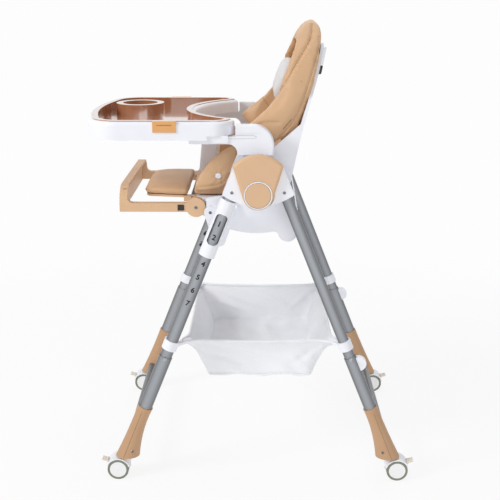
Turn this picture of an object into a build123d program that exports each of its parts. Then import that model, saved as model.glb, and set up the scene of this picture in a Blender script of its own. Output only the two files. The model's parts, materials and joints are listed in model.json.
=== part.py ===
"""Baby high chair on casters.

Two leg frames fold about a hub on each side.  The seat slides up and down the front legs and
carries the armrests, the reclining back, the swinging footrest, the leg rest and the tray.

Millimetres, +Z up.  The child looks along -Y, and the child's left is +X.  The origin is on the
floor, at the middle of the chair's box.  Side profiles are written from the fold pivot's Y and
from the floor.
"""

import os
from math import acos, atan2, cos, degrees, radians, sin, tan

from build123d import *

os.makedirs("parts", exist_ok=True)

FRONT = -1
REAR = 1
END_NAMES = {FRONT: "front", REAR: "rear"}

# Clearances
RUN_CLEAR = 0.3           # between pieces that move on each other
SEAT_CLEAR = 0.1          # between pieces that are fixed to each other
SOFT_CLEAR = 1.0          # between a pad and a hard piece beside it

# Leg frames
LEG_X = 250.0             # leg axis from the middle of the chair
HUB_Z = 694.0             # fold pivot above the floor
HUB_OFFSET = 57.5         # leg axis from the pivot, at the pivot's height
LEG_LEAN = 21.8           # lean of each leg from the vertical, degrees
UPPER_TUBE_D = {FRONT: 28.0, REAR: 25.0}
TUBE_WALL = 1.5
TUBE_TOP_Z = 735.0
TUBE_END_Z = 262.0        # end of an upper tube inside the lower one
LOWER_TOP_Z = 308.0
LOWER_END_Z = 112.0       # end of a lower tube inside the boot
LOCK_HOLE_D = 9.0
LOCK_HOLE_PITCH = 33.0    # one height position to the next, along the leg
LOCK_HOLES = 7
LOCK_HOLE_TOP_Z = 622.0

# Boots and crossbars
BOOT_TOP_Z = 181.0
BOOT_WAIST_Z = 112.0
BOOT_BOTTOM_Z = 56.0
BOOT_WALL = 2.2
BOOT_WAIST = (20.0, 19.0)   # half lengths along Y and X
BOOT_FOOT = (28.5, 25.0)    # half lengths along Y and X
BOOT_FOOT_INSET = 4.0       # foot's middle from the leg axis, towards the chair's middle
CROSSBAR_Z = 76.0
CROSSBAR_D = 20.0
CROSSBAR_INSET = 14.0       # crossbar's end from the leg axis

# Casters
WHEEL_R = 25.0
WHEEL_DISC_R = 19.5
WHEEL_WIDTH = 13.5
WHEEL_GAP = 12.4            # between the two wheels of a caster
WHEEL_AXLE_R = 4.0
CASTER_TRAIL = 20.0         # wheel axle from the swivel axis
STEM_R = 5.0
STEM_LENGTH = 26.0
SWIVEL_R = 9.0
FENDER_GAP = 1.0
FENDER_WALL = 2.3
FENDER_START = 15.0         # degrees above the floor's line, at both ends
SWIVEL_DROP = 0.6           # boot to the top of the swivel
PEDAL_ANGLE = 32.0          # where the brake pedal is hinged on the fender, degrees
PEDAL_BARREL_R = 2.8
PEDAL_WIDTH = 18.0
PEDAL_LENGTH = 13.0
PEDAL_WALL = 3.0
PEDAL_LIFT = 18.0           # rise of the pedal at rest, degrees

# Hubs
HOUSING_IN = 230.0          # inner face of the hub from the middle of the chair
HOUSING_WIDTH = 40.0
HOUSING_CORNER = (78.0, -2.0)   # lower corner, from the pivot
HOUSING_BOTTOM = -27.0
HUB_SHOULDER = (55.0, 63.0)     # upper corner, from the pivot
HUB_TOP = 88.0
COVER_BOTTOM_R = 34.0
COVER_DEPTH = 14.0
COVER_ROUND = 7.0               # rounding of the cover's face
HOUSING_DROP = 9.0              # top of the housing below the cover's
COVER_EDGE = 2.0
PIVOT_DISC_R = 36.0
PIVOT_PIN_R = 8.0
BUTTON_R = 28.0
BUTTON_DEPTH = 12.0
BUTTON_TRAVEL = 6.0
BUTTON_PROUD = 2.0
TRIM_RING_WIDTH = 2.4
TRIM_RING_RISE = 1.4

# Basket and its collars
COLLAR_Z = 337.0
COLLAR_LENGTH = 23.0
COLLAR_WALL = 3.6
COLLAR_TAB = (14.0, 6.0)        # width and thickness of the arm to the basket
BASKET_RIM_Z = 334.0
BASKET_FLOOR_Z = 238.0
BASKET_MID = 5.0                # basket's middle from the pivot
BASKET_RIM = (208.0, 167.0)     # half width and half length
BASKET_FLOOR = (190.0, 126.0)
BASKET_CORNER_R = 16.0
BASKET_WALL = 2.4
BUMPER_Z = 287.0
BUMPER_R = 17.0
BUMPER_WIDTH = 16.0

# Height sliders
SLIDER_TOP_Z = 677.0
SLIDER_LENGTH = 137.0
SLIDER_R = 18.5
SLIDER_WINDOW = (74.0, 26.0)    # along and across the leg
SLIDER_WINDOW_R = 9.0
SLIDER_WINDOW_Z = 612.5
SLIDER_PLATE = 8.0
SLIDER_EAR = (-108.0, 637.0)
SLIDER_EAR_R = 14.0
SLIDER_FLANGE_TOP = (-60.0, 648.0)
SLIDER_FLANGE_FOOT = (-88.0, 572.0)
SLIDER_WEB = (24.0, 100.0)      # across and along the leg

# Seat
SEAT_HALF = 197.0
SEAT_WALL = 4.0
SEAT_PAN_Z = 666.0
SEAT_PAN_REAR = 22.0
SEAT_PAN_NARROW = 158.0         # half width of the pan between the back's cheeks
SEAT_RIM_Z = 706.0
SEAT_RIM_FRONT = -36.0
SEAT_RIM_DIP = (-72.0, 676.0)   # lowest point of the rim, under the pad's wing
SEAT_RIM_REAR = 46.0
SEAT_BELLY = (-10.0, 586.0)
SEAT_LOBE = (67.0, 566.0)
SEAT_LOBE_FRONT = (21.0, 26.0)  # where the lobe leaves the belly, from its lowest point
SEAT_LOBE_RISE = 22.0           # where the lobe leaves the rear wall, above its lowest point
SEAT_REAR = 90.0
SEAT_REAR_Z = 640.0             # top of the rear wall
SEAT_EDGE = 7.0
SEAT_CORNER_R = 12.0
FOOT_PIVOT = (-141.0, 646.0)
NOSE_R = 20.0
NOSE_INSET = 23.0               # nose's end in from the seat's side, clear of the footrest's arms
NOSE_HALF = SEAT_HALF - NOSE_INSET
PAD_REAR = 18.0
PAD_FRONT = -150.0
PAD_HALF = 161.0
PAD_THICK = 28.0
PAD_CROWN = 8.0
PAD_EDGE = 8.0
WING_IN = 157.0
WING_WIDTH = 22.0
WING_EDGE = 9.0
WING_TIP = (-151.0, 680.0)
WING_BROW = (-112.0, 752.0)
WING_TOP = (-44.0, 792.0)
WING_TAIL = (-26.0, 740.0)
WING_HEEL = (-78.0, 688.0)
WING_CORNER_R = 14.0
POST_HALF = 24.0
POST_TOP_Z = 803.0
POST_LENGTH = 44.0
POST_FRONT_FOOT = -147.0
POST_FRONT_TOP = -133.0
POST_EDGE = 10.0

# Armrests
ARM_PLATE = 10.0
ARM_WIDTH = 29.0
ARM_TOP_Z = 837.0
ARM_END_R = 45.0
ARM_END_MID = -10.0
ARM_FOOT_Z = 667.0
ARM_FOOT = (-62.0, 24.0)
RAIL_FRONT = -152.0
RAIL_BOTTOM_Z = 796.0
RAIL_TOP_Z = 812.0
RAIL_STEP = -50.0
ARM_CROOK = (-46.0, 772.0)
ARM_SHANK_Z = 732.0
ARM_CROOK_R = 24.0
ARM_EDGE = 4.0
ARM_GROOVE = (52.0, 6.0, 2.0)   # length, height and depth of the runner groove
ARM_GROOVE_Z = 817.0

# Back
RECLINE_PIVOT = (16.0, 688.0)
CHEEK_R = 26.0
CHEEK_OUT = 171.0
CHEEK_WALL = 6.0
CHEEK_TOP = (95.0, 832.0)
RECLINE_PIN_R = 6.0
RECLINE_BOSS_R = 13.0
SHELL_WALL = 7.0
SHELL_REAR = ((74.0, 700.0), (80.0, 731.0), (103.0, 834.0), (137.0, 950.0), (148.0, 1004.0))
SHELL_SHOULDER_Z = 860.0
SHELL_TOP_HALF = 104.0
SHELL_CORNER_R = 40.0
BACK_HALF = 167.0
BACK_FOOT_HALF = 160.0
BACK_FOOT_Z = 707.0
BACK_SHOULDER_Z = 900.0
BACK_TOP_Z = 1057.0
BACK_THICK = 28.0               # pad in front of the shell
BACK_WING = 24.0                # thickness of the side wings
BACK_HOLLOW = 170.0             # reach of the hollow, past the wings' front tips
BACK_FRONT_EDGE = (
    (-50.0, 812.0), (14.0, 869.0), (40.0, 901.0), (64.0, 965.0), (85.0, 1010.0), (102.0, 1043.0),
    (125.0, 1057.0),
)
BACK_REAR_EDGE = (
    (125.0, 1057.0), (143.0, 1034.0), (142.0, 1004.0), (129.0, 959.0), (107.0, 886.0), (89.0, 842.0)
)
BACK_LOWER_EDGE = ((89.0, 842.0), (64.0, 807.0), (36.0, 783.0), (-24.0, 778.0))
HEAD_CUSHION = (178.0, 104.0, 50.0)   # width, height and thickness
HEAD_CUSHION_R = 44.0
HEAD_CUSHION_EDGE = 20.0
HEAD_CUSHION_Z = 908.0
HEAD_CUSHION_GAP = 0.9          # at the middle, so that its ends clear the bowed pad
HANDLE_HALF = 42.0
HANDLE_THICK = 11.0
HANDLE_TOP_Z = 993.0
HANDLE_FOOT_Z = 951.0
LEVER_HALF = 36.0
LEVER_THICK = 12.0
LEVER_DROP = 21.0
LEVER_PIN = (146.5, 946.5)       # the lever turns on a pin through its top
LEVER_PIN_R = 1.5
HANDLE_SEAT = 1.6                # handle's face from the shell's chord
LEVER_SEAT = 2.0
HANDLE_EDGE = 3.0

# Footrest and leg rest
FOOT_DISC_R = 22.0
FOOT_ARM_WIDTH = 17.0
FOOT_ARM_GAP = 3.0              # arm's outer face in from the seat's side
FOOT_ARM_IN = SEAT_HALF - FOOT_ARM_GAP - FOOT_ARM_WIDTH
FOOT_ARM_HEIGHT = 20.0
FOOT_REACH = 173.0              # pivot to the front of the foot plate
FOOT_PLATE_TOP_Z = 693.0
FOOT_PLATE_THICK = 18.0
FOOT_PLATE_WALL = 7.0
FOOT_PLATE_R = 44.0
FOOT_CROOK_R = 12.0
FOOT_AXLE_R = 4.0
FOOT_BUTTON = (14.0, 13.0, 9.0)       # length, height and depth
FOOT_BUTTON_OUT = 34.0                # button's middle from the pivot
FOOT_BUTTON_PROUD = 2.5
LEG_REST_FRONT = -268.0
LEG_REST_REAR = -163.0
LEG_REST_HALF = 130.0
LEG_REST_NOSE_HALF = 112.0
LEG_REST_Z = 659.0
LEG_REST_PLATE = 5.0
LEG_REST_PAD = 16.0
LEG_REST_CROWN = 6.0
LEG_REST_EDGE = 5.0
LEG_REST_EAR = 16.0
LEG_REST_EAR_X = LEG_REST_HALF - LEG_REST_EAR / 2
LEG_REST_EAR_R = 13.0
LEG_REST_CORNER_R = 24.0

# Tray
TRAY_REACH = 400.0              # fold pivot to the front of the tray
TRAY_OVERHANG = 39.0            # tray's side beyond the seat's side
TRAY_HALF = SEAT_HALF + TRAY_OVERHANG
TRAY_TOP_Z = 845.0
TRAY_BOTTOM_Z = 805.0
TRAY_FRONT_R = 75.0
TRAY_FRONT_BULGE = 20.0
TRAY_REAR = -53.0
TRAY_REAR_R = 50.0
TRAY_BELLY_R = 207.0
TRAY_BELLY = -150.0             # deepest point of the recess for the child
TRAY_TIP_R = 10.0
TRAY_SKIRT = 4.0
TRAY_FLOOR_Z = 815.0
TRAY_FLOOR = 4.0
TRAY_RIM = 20.0
TRAY_TAIL = -112.0
RUNNER = (22.0, 86.0)           # width and length of a slide runner
RUNNER_LIP = 3.0
INSERT_INSET = 9.0
INSERT_WALL = 2.2
INSERT_RIM = 2.0
CUP_MID = (-108.0, -298.0)
CUP_RING_R = 60.0
CUP_BORE_R = 43.5
CLIP_LENGTH = 51.0
CLIP_WALL = 2.4
CLIP_DROP = 24.0
CLIP_MID = -204.0

# Values that follow from the sizes above
LEAN = radians(LEG_LEAN)
HOUSING_OUT = HOUSING_IN + HOUSING_WIDTH
HOUSING_SPLIT = HOUSING_IN + HOUSING_WIDTH / 2
COVER_OUT = HOUSING_OUT + COVER_DEPTH
LOWER_TUBE_D = {end: d + 2 * (SEAT_CLEAR + TUBE_WALL) for end, d in UPPER_TUBE_D.items()}
SWIVEL_OUT = HUB_OFFSET + tan(LEAN) * (HUB_Z - BOOT_BOTTOM_Z) - BOOT_FOOT_INSET / 2
FENDER_IN = WHEEL_R + FENDER_GAP
FENDER_OUT = FENDER_IN + FENDER_WALL
PEDAL_ARM = FENDER_OUT + RUN_CLEAR + PEDAL_BARREL_R
PEDAL_HINGE = (
    CASTER_TRAIL + PEDAL_ARM * cos(radians(PEDAL_ANGLE)),
    WHEEL_R + PEDAL_ARM * sin(radians(PEDAL_ANGLE)),
)
CASTER_REACH = PEDAL_HINGE[0] + PEDAL_LENGTH * cos(radians(PEDAL_LIFT))
HUB_Y = (TRAY_REACH - SWIVEL_OUT - CASTER_REACH) / 2
MID_PLANE = Plane((0, HUB_Y, 0), x_dir=(1, 0, 0), z_dir=(0, 1, 0))


def side_plane(x):
    """Upright plane at x, with +Y from the pivot as its first axis and +Z as its second."""
    return Plane((x, HUB_Y, 0), x_dir=(0, 1, 0), z_dir=(1, 0, 0))


def hub_plane(x):
    """The side plane with its origin on the fold pivot."""
    return Plane((x, HUB_Y, HUB_Z), x_dir=(0, 1, 0), z_dir=(1, 0, 0))


def floor_plane(z):
    """Level plane at height z, with its origin under the fold pivot."""
    return Plane((0, HUB_Y, z), x_dir=(1, 0, 0), z_dir=(0, 0, 1))


def front_plane():
    """Upright plane facing the child, with +X as its first axis and +Z as its second."""
    return Plane((0, HUB_Y, 0), x_dir=(1, 0, 0), z_dir=(0, -1, 0))


def leg_out(z):
    """Distance of a leg axis from the fold pivot along Y at height z."""
    return HUB_OFFSET + tan(LEAN) * (HUB_Z - z)


def along_leg(upper_z, lower_z):
    """Length along a leg between two heights."""
    return (upper_z - lower_z) / cos(LEAN)


def leg_plane(end, z):
    """Plane square to the left leg of one frame at height z, looking down the leg."""
    origin = (LEG_X, HUB_Y + end * leg_out(z), z)
    return Plane(origin, x_dir=(1, 0, 0), z_dir=(0, end * sin(LEAN), -cos(LEAN)))


def save(builder, name):
    """Label a finished piece and write it."""
    builder.part.label = name
    export_step(builder.part, f"parts/{name}.step")


def save_pair(builder, name):
    """Write a left piece and its mirror image on the right."""
    save(builder, f"{name}_left")
    with BuildPart() as right:
        mirror(builder.part, about=Plane.YZ)
    save(right, f"{name}_right")


# Upper and lower leg tubes
for end, end_name in END_NAMES.items():
    tube_r = UPPER_TUBE_D[end] / 2
    with BuildPart() as upper_tube:
        with BuildSketch(leg_plane(end, TUBE_TOP_Z)):
            Circle(tube_r)
            Circle(tube_r - TUBE_WALL, mode=Mode.SUBTRACT)
        extrude(amount=along_leg(TUBE_TOP_Z, TUBE_END_Z))
        if end == FRONT:
            first = leg_plane(end, LOCK_HOLE_TOP_Z)
            lock_face = Plane(first.origin, x_dir=first.z_dir, z_dir=(-1, 0, 0))
            with BuildSketch(lock_face):
                for step in range(LOCK_HOLES):
                    with Locations((step * LOCK_HOLE_PITCH, 0)):
                        Circle(LOCK_HOLE_D / 2)
            extrude(amount=tube_r + TUBE_WALL, mode=Mode.SUBTRACT)
    save_pair(upper_tube, f"{end_name}_leg")

    with BuildPart() as lower_tubes:
        with BuildSketch(leg_plane(end, LOWER_TOP_Z)):
            Circle(LOWER_TUBE_D[end] / 2)
            Circle(tube_r + SEAT_CLEAR, mode=Mode.SUBTRACT)
        extrude(amount=along_leg(LOWER_TOP_Z, LOWER_END_Z))
        mirror(about=Plane.YZ)
    save(lower_tubes, f"{end_name}_lower_tubes")

# Boots, which join the lower tubes to the crossbar and hold the casters
for end, end_name in END_NAMES.items():
    with BuildPart() as boots:
        with BuildSketch(leg_plane(end, BOOT_TOP_Z)):
            Circle(LOWER_TUBE_D[end] / 2 + BOOT_WALL)
        with BuildSketch(floor_plane(BOOT_WAIST_Z)):
            with Locations((LEG_X, end * leg_out(BOOT_WAIST_Z))):
                Ellipse(BOOT_WAIST[1], BOOT_WAIST[0])
        with BuildSketch(floor_plane(BOOT_BOTTOM_Z)):
            with Locations((LEG_X, end * (leg_out(BOOT_BOTTOM_Z) - BOOT_FOOT_INSET))):
                Ellipse(BOOT_FOOT[1], BOOT_FOOT[0])
        loft()
        with BuildSketch(leg_plane(end, BOOT_TOP_Z + BOOT_FOOT[0])):
            Circle(LOWER_TUBE_D[end] / 2 + SEAT_CLEAR)
        extrude(amount=along_leg(BOOT_TOP_Z + BOOT_FOOT[0], LOWER_END_Z), mode=Mode.SUBTRACT)
        with BuildSketch(side_plane(0)):
            with Locations((end * leg_out(CROSSBAR_Z), CROSSBAR_Z)):
                Circle(CROSSBAR_D / 2 + SEAT_CLEAR)
        extrude(amount=LEG_X - CROSSBAR_INSET, mode=Mode.SUBTRACT)
        with BuildSketch(floor_plane(BOOT_BOTTOM_Z)):
            with Locations((LEG_X, end * SWIVEL_OUT)):
                Circle(STEM_R + RUN_CLEAR)
        extrude(amount=STEM_LENGTH, mode=Mode.SUBTRACT)
        mirror(about=Plane.YZ)
    save(boots, f"{end_name}_boots")

    with BuildPart() as crossbar:
        with BuildSketch(side_plane(0)):
            with Locations((end * leg_out(CROSSBAR_Z), CROSSBAR_Z)):
                Circle(CROSSBAR_D / 2)
                Circle(CROSSBAR_D / 2 - TUBE_WALL, mode=Mode.SUBTRACT)
        extrude(amount=LEG_X - CROSSBAR_INSET, both=True)
    save(crossbar, f"{end_name}_crossbar")

# Casters, made at the left rear leg and mirrored to the other three
swivel_plane = Plane((LEG_X, HUB_Y + SWIVEL_OUT, 0), x_dir=(0, 1, 0), z_dir=(1, 0, 0))
wheel_mid = (CASTER_TRAIL, WHEEL_R)
wheel_start = WHEEL_GAP / 2

with BuildPart() as fork:
    with BuildSketch(swivel_plane):
        with Locations(wheel_mid):
            Circle(FENDER_OUT)
            Rectangle(3 * FENDER_OUT, FENDER_OUT, align=(Align.CENTER, Align.MAX), mode=Mode.SUBTRACT)
            Circle(WHEEL_DISC_R)
            Circle(WHEEL_AXLE_R + RUN_CLEAR, mode=Mode.SUBTRACT)
    extrude(amount=wheel_start - 2 * RUN_CLEAR, both=True)
    fender_cut = FENDER_OUT * sin(radians(FENDER_START))
    with BuildSketch(swivel_plane):
        with Locations(wheel_mid):
            Circle(FENDER_OUT)
            Circle(FENDER_IN, mode=Mode.SUBTRACT)
        with Locations((CASTER_TRAIL, WHEEL_R + fender_cut)):
            Rectangle(3 * FENDER_OUT, 3 * FENDER_OUT, align=(Align.CENTER, Align.MAX), mode=Mode.SUBTRACT)
    extrude(amount=wheel_start + WHEEL_WIDTH + FENDER_GAP, both=True)
    swivel_top = BOOT_BOTTOM_Z - SWIVEL_DROP
    swivel_foot = WHEEL_R + (FENDER_OUT**2 - (CASTER_TRAIL - SWIVEL_R) ** 2) ** 0.5 - FENDER_WALL
    with BuildSketch(Plane.XY.offset(swivel_foot)):
        with Locations((LEG_X, HUB_Y + SWIVEL_OUT)):
            Circle(SWIVEL_R)
    extrude(amount=swivel_top - swivel_foot)
    with BuildSketch(Plane.XY.offset(swivel_top)):
        with Locations((LEG_X, HUB_Y + SWIVEL_OUT)):
            Circle(STEM_R)
    extrude(amount=STEM_LENGTH - RUN_CLEAR)

with BuildPart() as wheel:
    with BuildSketch(swivel_plane):
        with Locations(wheel_mid):
            Circle(WHEEL_AXLE_R)
    extrude(amount=wheel_start, both=True)
    for start in (wheel_start, -wheel_start - WHEEL_WIDTH):
        with BuildSketch(swivel_plane.offset(start)):
            with Locations(wheel_mid):
                Circle(WHEEL_DISC_R)
        extrude(amount=WHEEL_WIDTH)

with BuildPart() as tyres:
    for start in (wheel_start, -wheel_start - WHEEL_WIDTH):
        with BuildSketch(swivel_plane.offset(start)):
            with Locations(wheel_mid):
                Circle(WHEEL_R)
                Circle(WHEEL_DISC_R, mode=Mode.SUBTRACT)
        extrude(amount=WHEEL_WIDTH)

with BuildPart() as pedal:
    with BuildSketch(swivel_plane):
        with Locations(PEDAL_HINGE):
            Circle(PEDAL_BARREL_R)
            Rectangle(PEDAL_LENGTH, PEDAL_WALL, rotation=PEDAL_LIFT, align=(Align.MIN, Align.CENTER))
    extrude(amount=PEDAL_WIDTH / 2, both=True)

for caster_piece, piece_name in ((fork, "fork"), (wheel, "wheel"), (tyres, "tyres"), (pedal, "pedal")):
    save_pair(caster_piece, f"rear_caster_{piece_name}")
    with BuildPart() as front_caster_piece:
        mirror(caster_piece.part, about=MID_PLANE)
    save_pair(front_caster_piece, f"front_caster_{piece_name}")

# Hub housings: one half on each leg, with pivot discs that lie on each other
for end, end_name in END_NAMES.items():
    face_out = HOUSING_OUT if end == FRONT else HOUSING_OUT - RUN_CLEAR
    own_disc = (HOUSING_SPLIT, HOUSING_OUT - BUTTON_TRAVEL + BUTTON_PROUD)
    other_disc = (HOUSING_IN, HOUSING_SPLIT)
    if end == REAR:
        own_disc = (HOUSING_IN, HOUSING_SPLIT - RUN_CLEAR)
        other_disc = (HOUSING_SPLIT - RUN_CLEAR, HOUSING_OUT)
    with BuildPart() as housing:
        with BuildSketch(hub_plane(HOUSING_IN)):
            with BuildLine():
                corner_x, corner_z = HOUSING_CORNER
                shoulder_x, shoulder_z = HUB_SHOULDER[0], HUB_SHOULDER[1] - HOUSING_DROP
                ThreePointArc((-corner_x, corner_z), (0, HOUSING_BOTTOM), (corner_x, corner_z))
                Line((corner_x, corner_z), (shoulder_x, shoulder_z))
                ThreePointArc((shoulder_x, shoulder_z), (0, HUB_TOP - HOUSING_DROP), (-shoulder_x, shoulder_z))
                Line((-shoulder_x, shoulder_z), (-corner_x, corner_z))
            make_face()
            with Locations((end * RUN_CLEAR, 0)):
                Rectangle(
                    4 * corner_x,
                    4 * HUB_TOP,
                    align=(Align.MAX if end == REAR else Align.MIN, Align.CENTER),
                    mode=Mode.SUBTRACT,
                )
        extrude(amount=face_out - HOUSING_IN)
        with BuildSketch(hub_plane(other_disc[0])):
            Circle(PIVOT_DISC_R + RUN_CLEAR)
        extrude(amount=other_disc[1] - other_disc[0], mode=Mode.SUBTRACT)
        with BuildSketch(hub_plane(own_disc[0])):
            Circle(PIVOT_DISC_R)
        extrude(amount=own_disc[1] - own_disc[0])
        with BuildSketch(hub_plane(own_disc[1])):
            Circle(BUTTON_R + RUN_CLEAR)
        extrude(amount=HOUSING_WIDTH, mode=Mode.SUBTRACT)
        with BuildSketch(hub_plane(HOUSING_IN)):
            Circle(PIVOT_PIN_R + RUN_CLEAR)
        extrude(amount=HOUSING_WIDTH, mode=Mode.SUBTRACT)
        with BuildSketch(leg_plane(end, TUBE_TOP_Z)):
            Circle(UPPER_TUBE_D[end] / 2 + SEAT_CLEAR)
        extrude(amount=along_leg(TUBE_TOP_Z, HUB_Z - HUB_TOP), mode=Mode.SUBTRACT)
    save_pair(housing, f"hub_{end_name}_housing")

with BuildPart() as pivot_pins:
    with BuildSketch(hub_plane(HOUSING_IN)):
        Circle(PIVOT_PIN_R)
    extrude(amount=HOUSING_OUT - BUTTON_TRAVEL + BUTTON_PROUD - HOUSING_IN)
    mirror(about=Plane.YZ)
save(pivot_pins, "hub_pivot_pins")


def cover_outline():
    """Fan outline of the hub cover: an arc on top and straight sides that meet a round bottom."""
    shoulder = Vector(HUB_SHOULDER)
    touch = atan2(shoulder.Y, shoulder.X) - acos(COVER_BOTTOM_R / shoulder.length)
    side_foot = Vector(COVER_BOTTOM_R * cos(touch), COVER_BOTTOM_R * sin(touch))
    with BuildSketch() as outline:
        with BuildLine():
            ThreePointArc((-shoulder.X, shoulder.Y), (0, HUB_TOP), (shoulder.X, shoulder.Y))
            Line((shoulder.X, shoulder.Y), (side_foot.X, side_foot.Y))
            ThreePointArc((side_foot.X, side_foot.Y), (0, -COVER_BOTTOM_R), (-side_foot.X, side_foot.Y))
            Line((-side_foot.X, side_foot.Y), (-shoulder.X, shoulder.Y))
        make_face()
    return outline.sketch


with BuildPart() as covers:
    with BuildSketch(hub_plane(HOUSING_OUT)):
        add(cover_outline())
    extrude(amount=COVER_DEPTH)
    fillet(covers.faces().sort_by(Axis.X)[-1].edges(), COVER_ROUND)
    with BuildSketch(hub_plane(HOUSING_OUT)):
        Circle(BUTTON_R + RUN_CLEAR)
    extrude(amount=COVER_DEPTH, mode=Mode.SUBTRACT)
    mirror(about=Plane.YZ)
save(covers, "hub_covers")

with BuildPart() as trim_rings:
    with BuildSketch(hub_plane(COVER_OUT)):
        Circle(BUTTON_R + RUN_CLEAR + TRIM_RING_WIDTH)
        Circle(BUTTON_R + RUN_CLEAR, mode=Mode.SUBTRACT)
    extrude(amount=TRIM_RING_RISE)
    mirror(about=Plane.YZ)
save(trim_rings, "hub_trim_rings")

with BuildPart() as button:
    with BuildSketch(hub_plane(COVER_OUT + BUTTON_PROUD - BUTTON_DEPTH)):
        Circle(BUTTON_R)
    extrude(amount=BUTTON_DEPTH)
    fillet(button.faces().sort_by(Axis.X)[-1].edges(), COVER_EDGE)
save_pair(button, "hub_button")

# Basket, the collars that carry it, and the bumpers on the rear legs
rim_corner = Vector(
    BASKET_RIM[0] - BASKET_CORNER_R * (1 - cos(radians(45))),
    BASKET_RIM[1] - BASKET_CORNER_R * (1 - sin(radians(45))),
)
for end, end_name in END_NAMES.items():
    collar_foot = Vector(LEG_X, end * leg_out(COLLAR_Z))
    tab_reach = Vector(rim_corner.X, BASKET_MID + end * rim_corner.Y) - collar_foot
    tab_turn = degrees(atan2(tab_reach.Y, tab_reach.X))
    tab_length = tab_reach.length - RUN_CLEAR
    bore_r = UPPER_TUBE_D[end] / 2 + SEAT_CLEAR
    with BuildPart() as collars:
        with BuildSketch(leg_plane(end, COLLAR_Z)):
            Circle(bore_r + COLLAR_WALL)
        extrude(amount=COLLAR_LENGTH / 2, both=True)
        with BuildSketch(floor_plane(BASKET_RIM_Z - COLLAR_TAB[1])):
            with Locations((collar_foot.X, collar_foot.Y)):
                Rectangle(
                    tab_length, COLLAR_TAB[0], rotation=tab_turn, align=(Align.MIN, Align.CENTER)
                )
        extrude(amount=COLLAR_TAB[1])
        with BuildSketch(leg_plane(end, COLLAR_Z)):
            Circle(bore_r)
        extrude(amount=2 * COLLAR_LENGTH, both=True, mode=Mode.SUBTRACT)
        mirror(about=Plane.YZ)
    save(collars, f"{end_name}_collars")

with BuildPart() as basket:
    for z, half in ((BASKET_FLOOR_Z, BASKET_FLOOR), (BASKET_RIM_Z, BASKET_RIM)):
        with BuildSketch(floor_plane(z)):
            with Locations((0, BASKET_MID)):
                RectangleRounded(2 * half[0], 2 * half[1], BASKET_CORNER_R)
    loft()
    for z, half in ((BASKET_FLOOR_Z + BASKET_WALL, BASKET_FLOOR), (BASKET_RIM_Z, BASKET_RIM)):
        with BuildSketch(floor_plane(z)):
            with Locations((0, BASKET_MID)):
                RectangleRounded(
                    2 * (half[0] - BASKET_WALL),
                    2 * (half[1] - BASKET_WALL),
                    BASKET_CORNER_R - BASKET_WALL,
                )
    loft(mode=Mode.SUBTRACT)
save(basket, "basket")

with BuildPart() as bumpers:
    bumper_mid = Vector(leg_out(BUMPER_Z), BUMPER_Z) + Vector(cos(LEAN), sin(LEAN)) * (LOWER_TUBE_D[REAR] / 2)
    with BuildSketch(side_plane(LEG_X)):
        with Locations((bumper_mid.X, bumper_mid.Y)):
            Circle(BUMPER_R)
    extrude(amount=BUMPER_WIDTH / 2, both=True)
    fillet(bumpers.edges(), TUBE_WALL)
    with BuildSketch(leg_plane(REAR, BUMPER_Z)):
        Circle(LOWER_TUBE_D[REAR] / 2 + SEAT_CLEAR)
        with Locations((0, LOWER_TUBE_D[REAR])):
            Rectangle(LOWER_TUBE_D[REAR], 2 * LOWER_TUBE_D[REAR])
    extrude(amount=2 * BUMPER_R, both=True, mode=Mode.SUBTRACT)
    mirror(about=Plane.YZ)
save(bumpers, "rear_bumpers")

# Height sliders on the front legs, with the plates that carry the seat
with BuildPart() as slider:
    window = leg_plane(FRONT, SLIDER_WINDOW_Z)
    with BuildSketch(leg_plane(FRONT, SLIDER_TOP_Z)):
        Circle(SLIDER_R)
    extrude(amount=SLIDER_LENGTH)
    with BuildSketch(side_plane(SEAT_HALF)):
        for mid in (SLIDER_EAR, SLIDER_FLANGE_TOP, SLIDER_FLANGE_FOOT):
            with Locations(mid):
                Circle(SLIDER_EAR_R)
        make_hull()
    extrude(amount=SLIDER_PLATE)
    with BuildSketch(Plane((SEAT_HALF, window.origin.Y, window.origin.Z), x_dir=window.z_dir, z_dir=(1, 0, 0))):
        RectangleRounded(SLIDER_WEB[1], SLIDER_WEB[0], SLIDER_PLATE)
    extrude(amount=LEG_X - SEAT_HALF)
    with BuildSketch(leg_plane(FRONT, SLIDER_TOP_Z)):
        Circle(UPPER_TUBE_D[FRONT] / 2 + RUN_CLEAR)
    extrude(amount=2 * SLIDER_LENGTH, both=True, mode=Mode.SUBTRACT)
    with BuildSketch(Plane(window.origin, x_dir=window.z_dir, z_dir=(1, 0, 0))):
        RectangleRounded(SLIDER_WINDOW[0], SLIDER_WINDOW[1], SLIDER_WINDOW_R)
    extrude(amount=2 * SLIDER_R, mode=Mode.SUBTRACT)
save_pair(slider, "height_slider")


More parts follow.
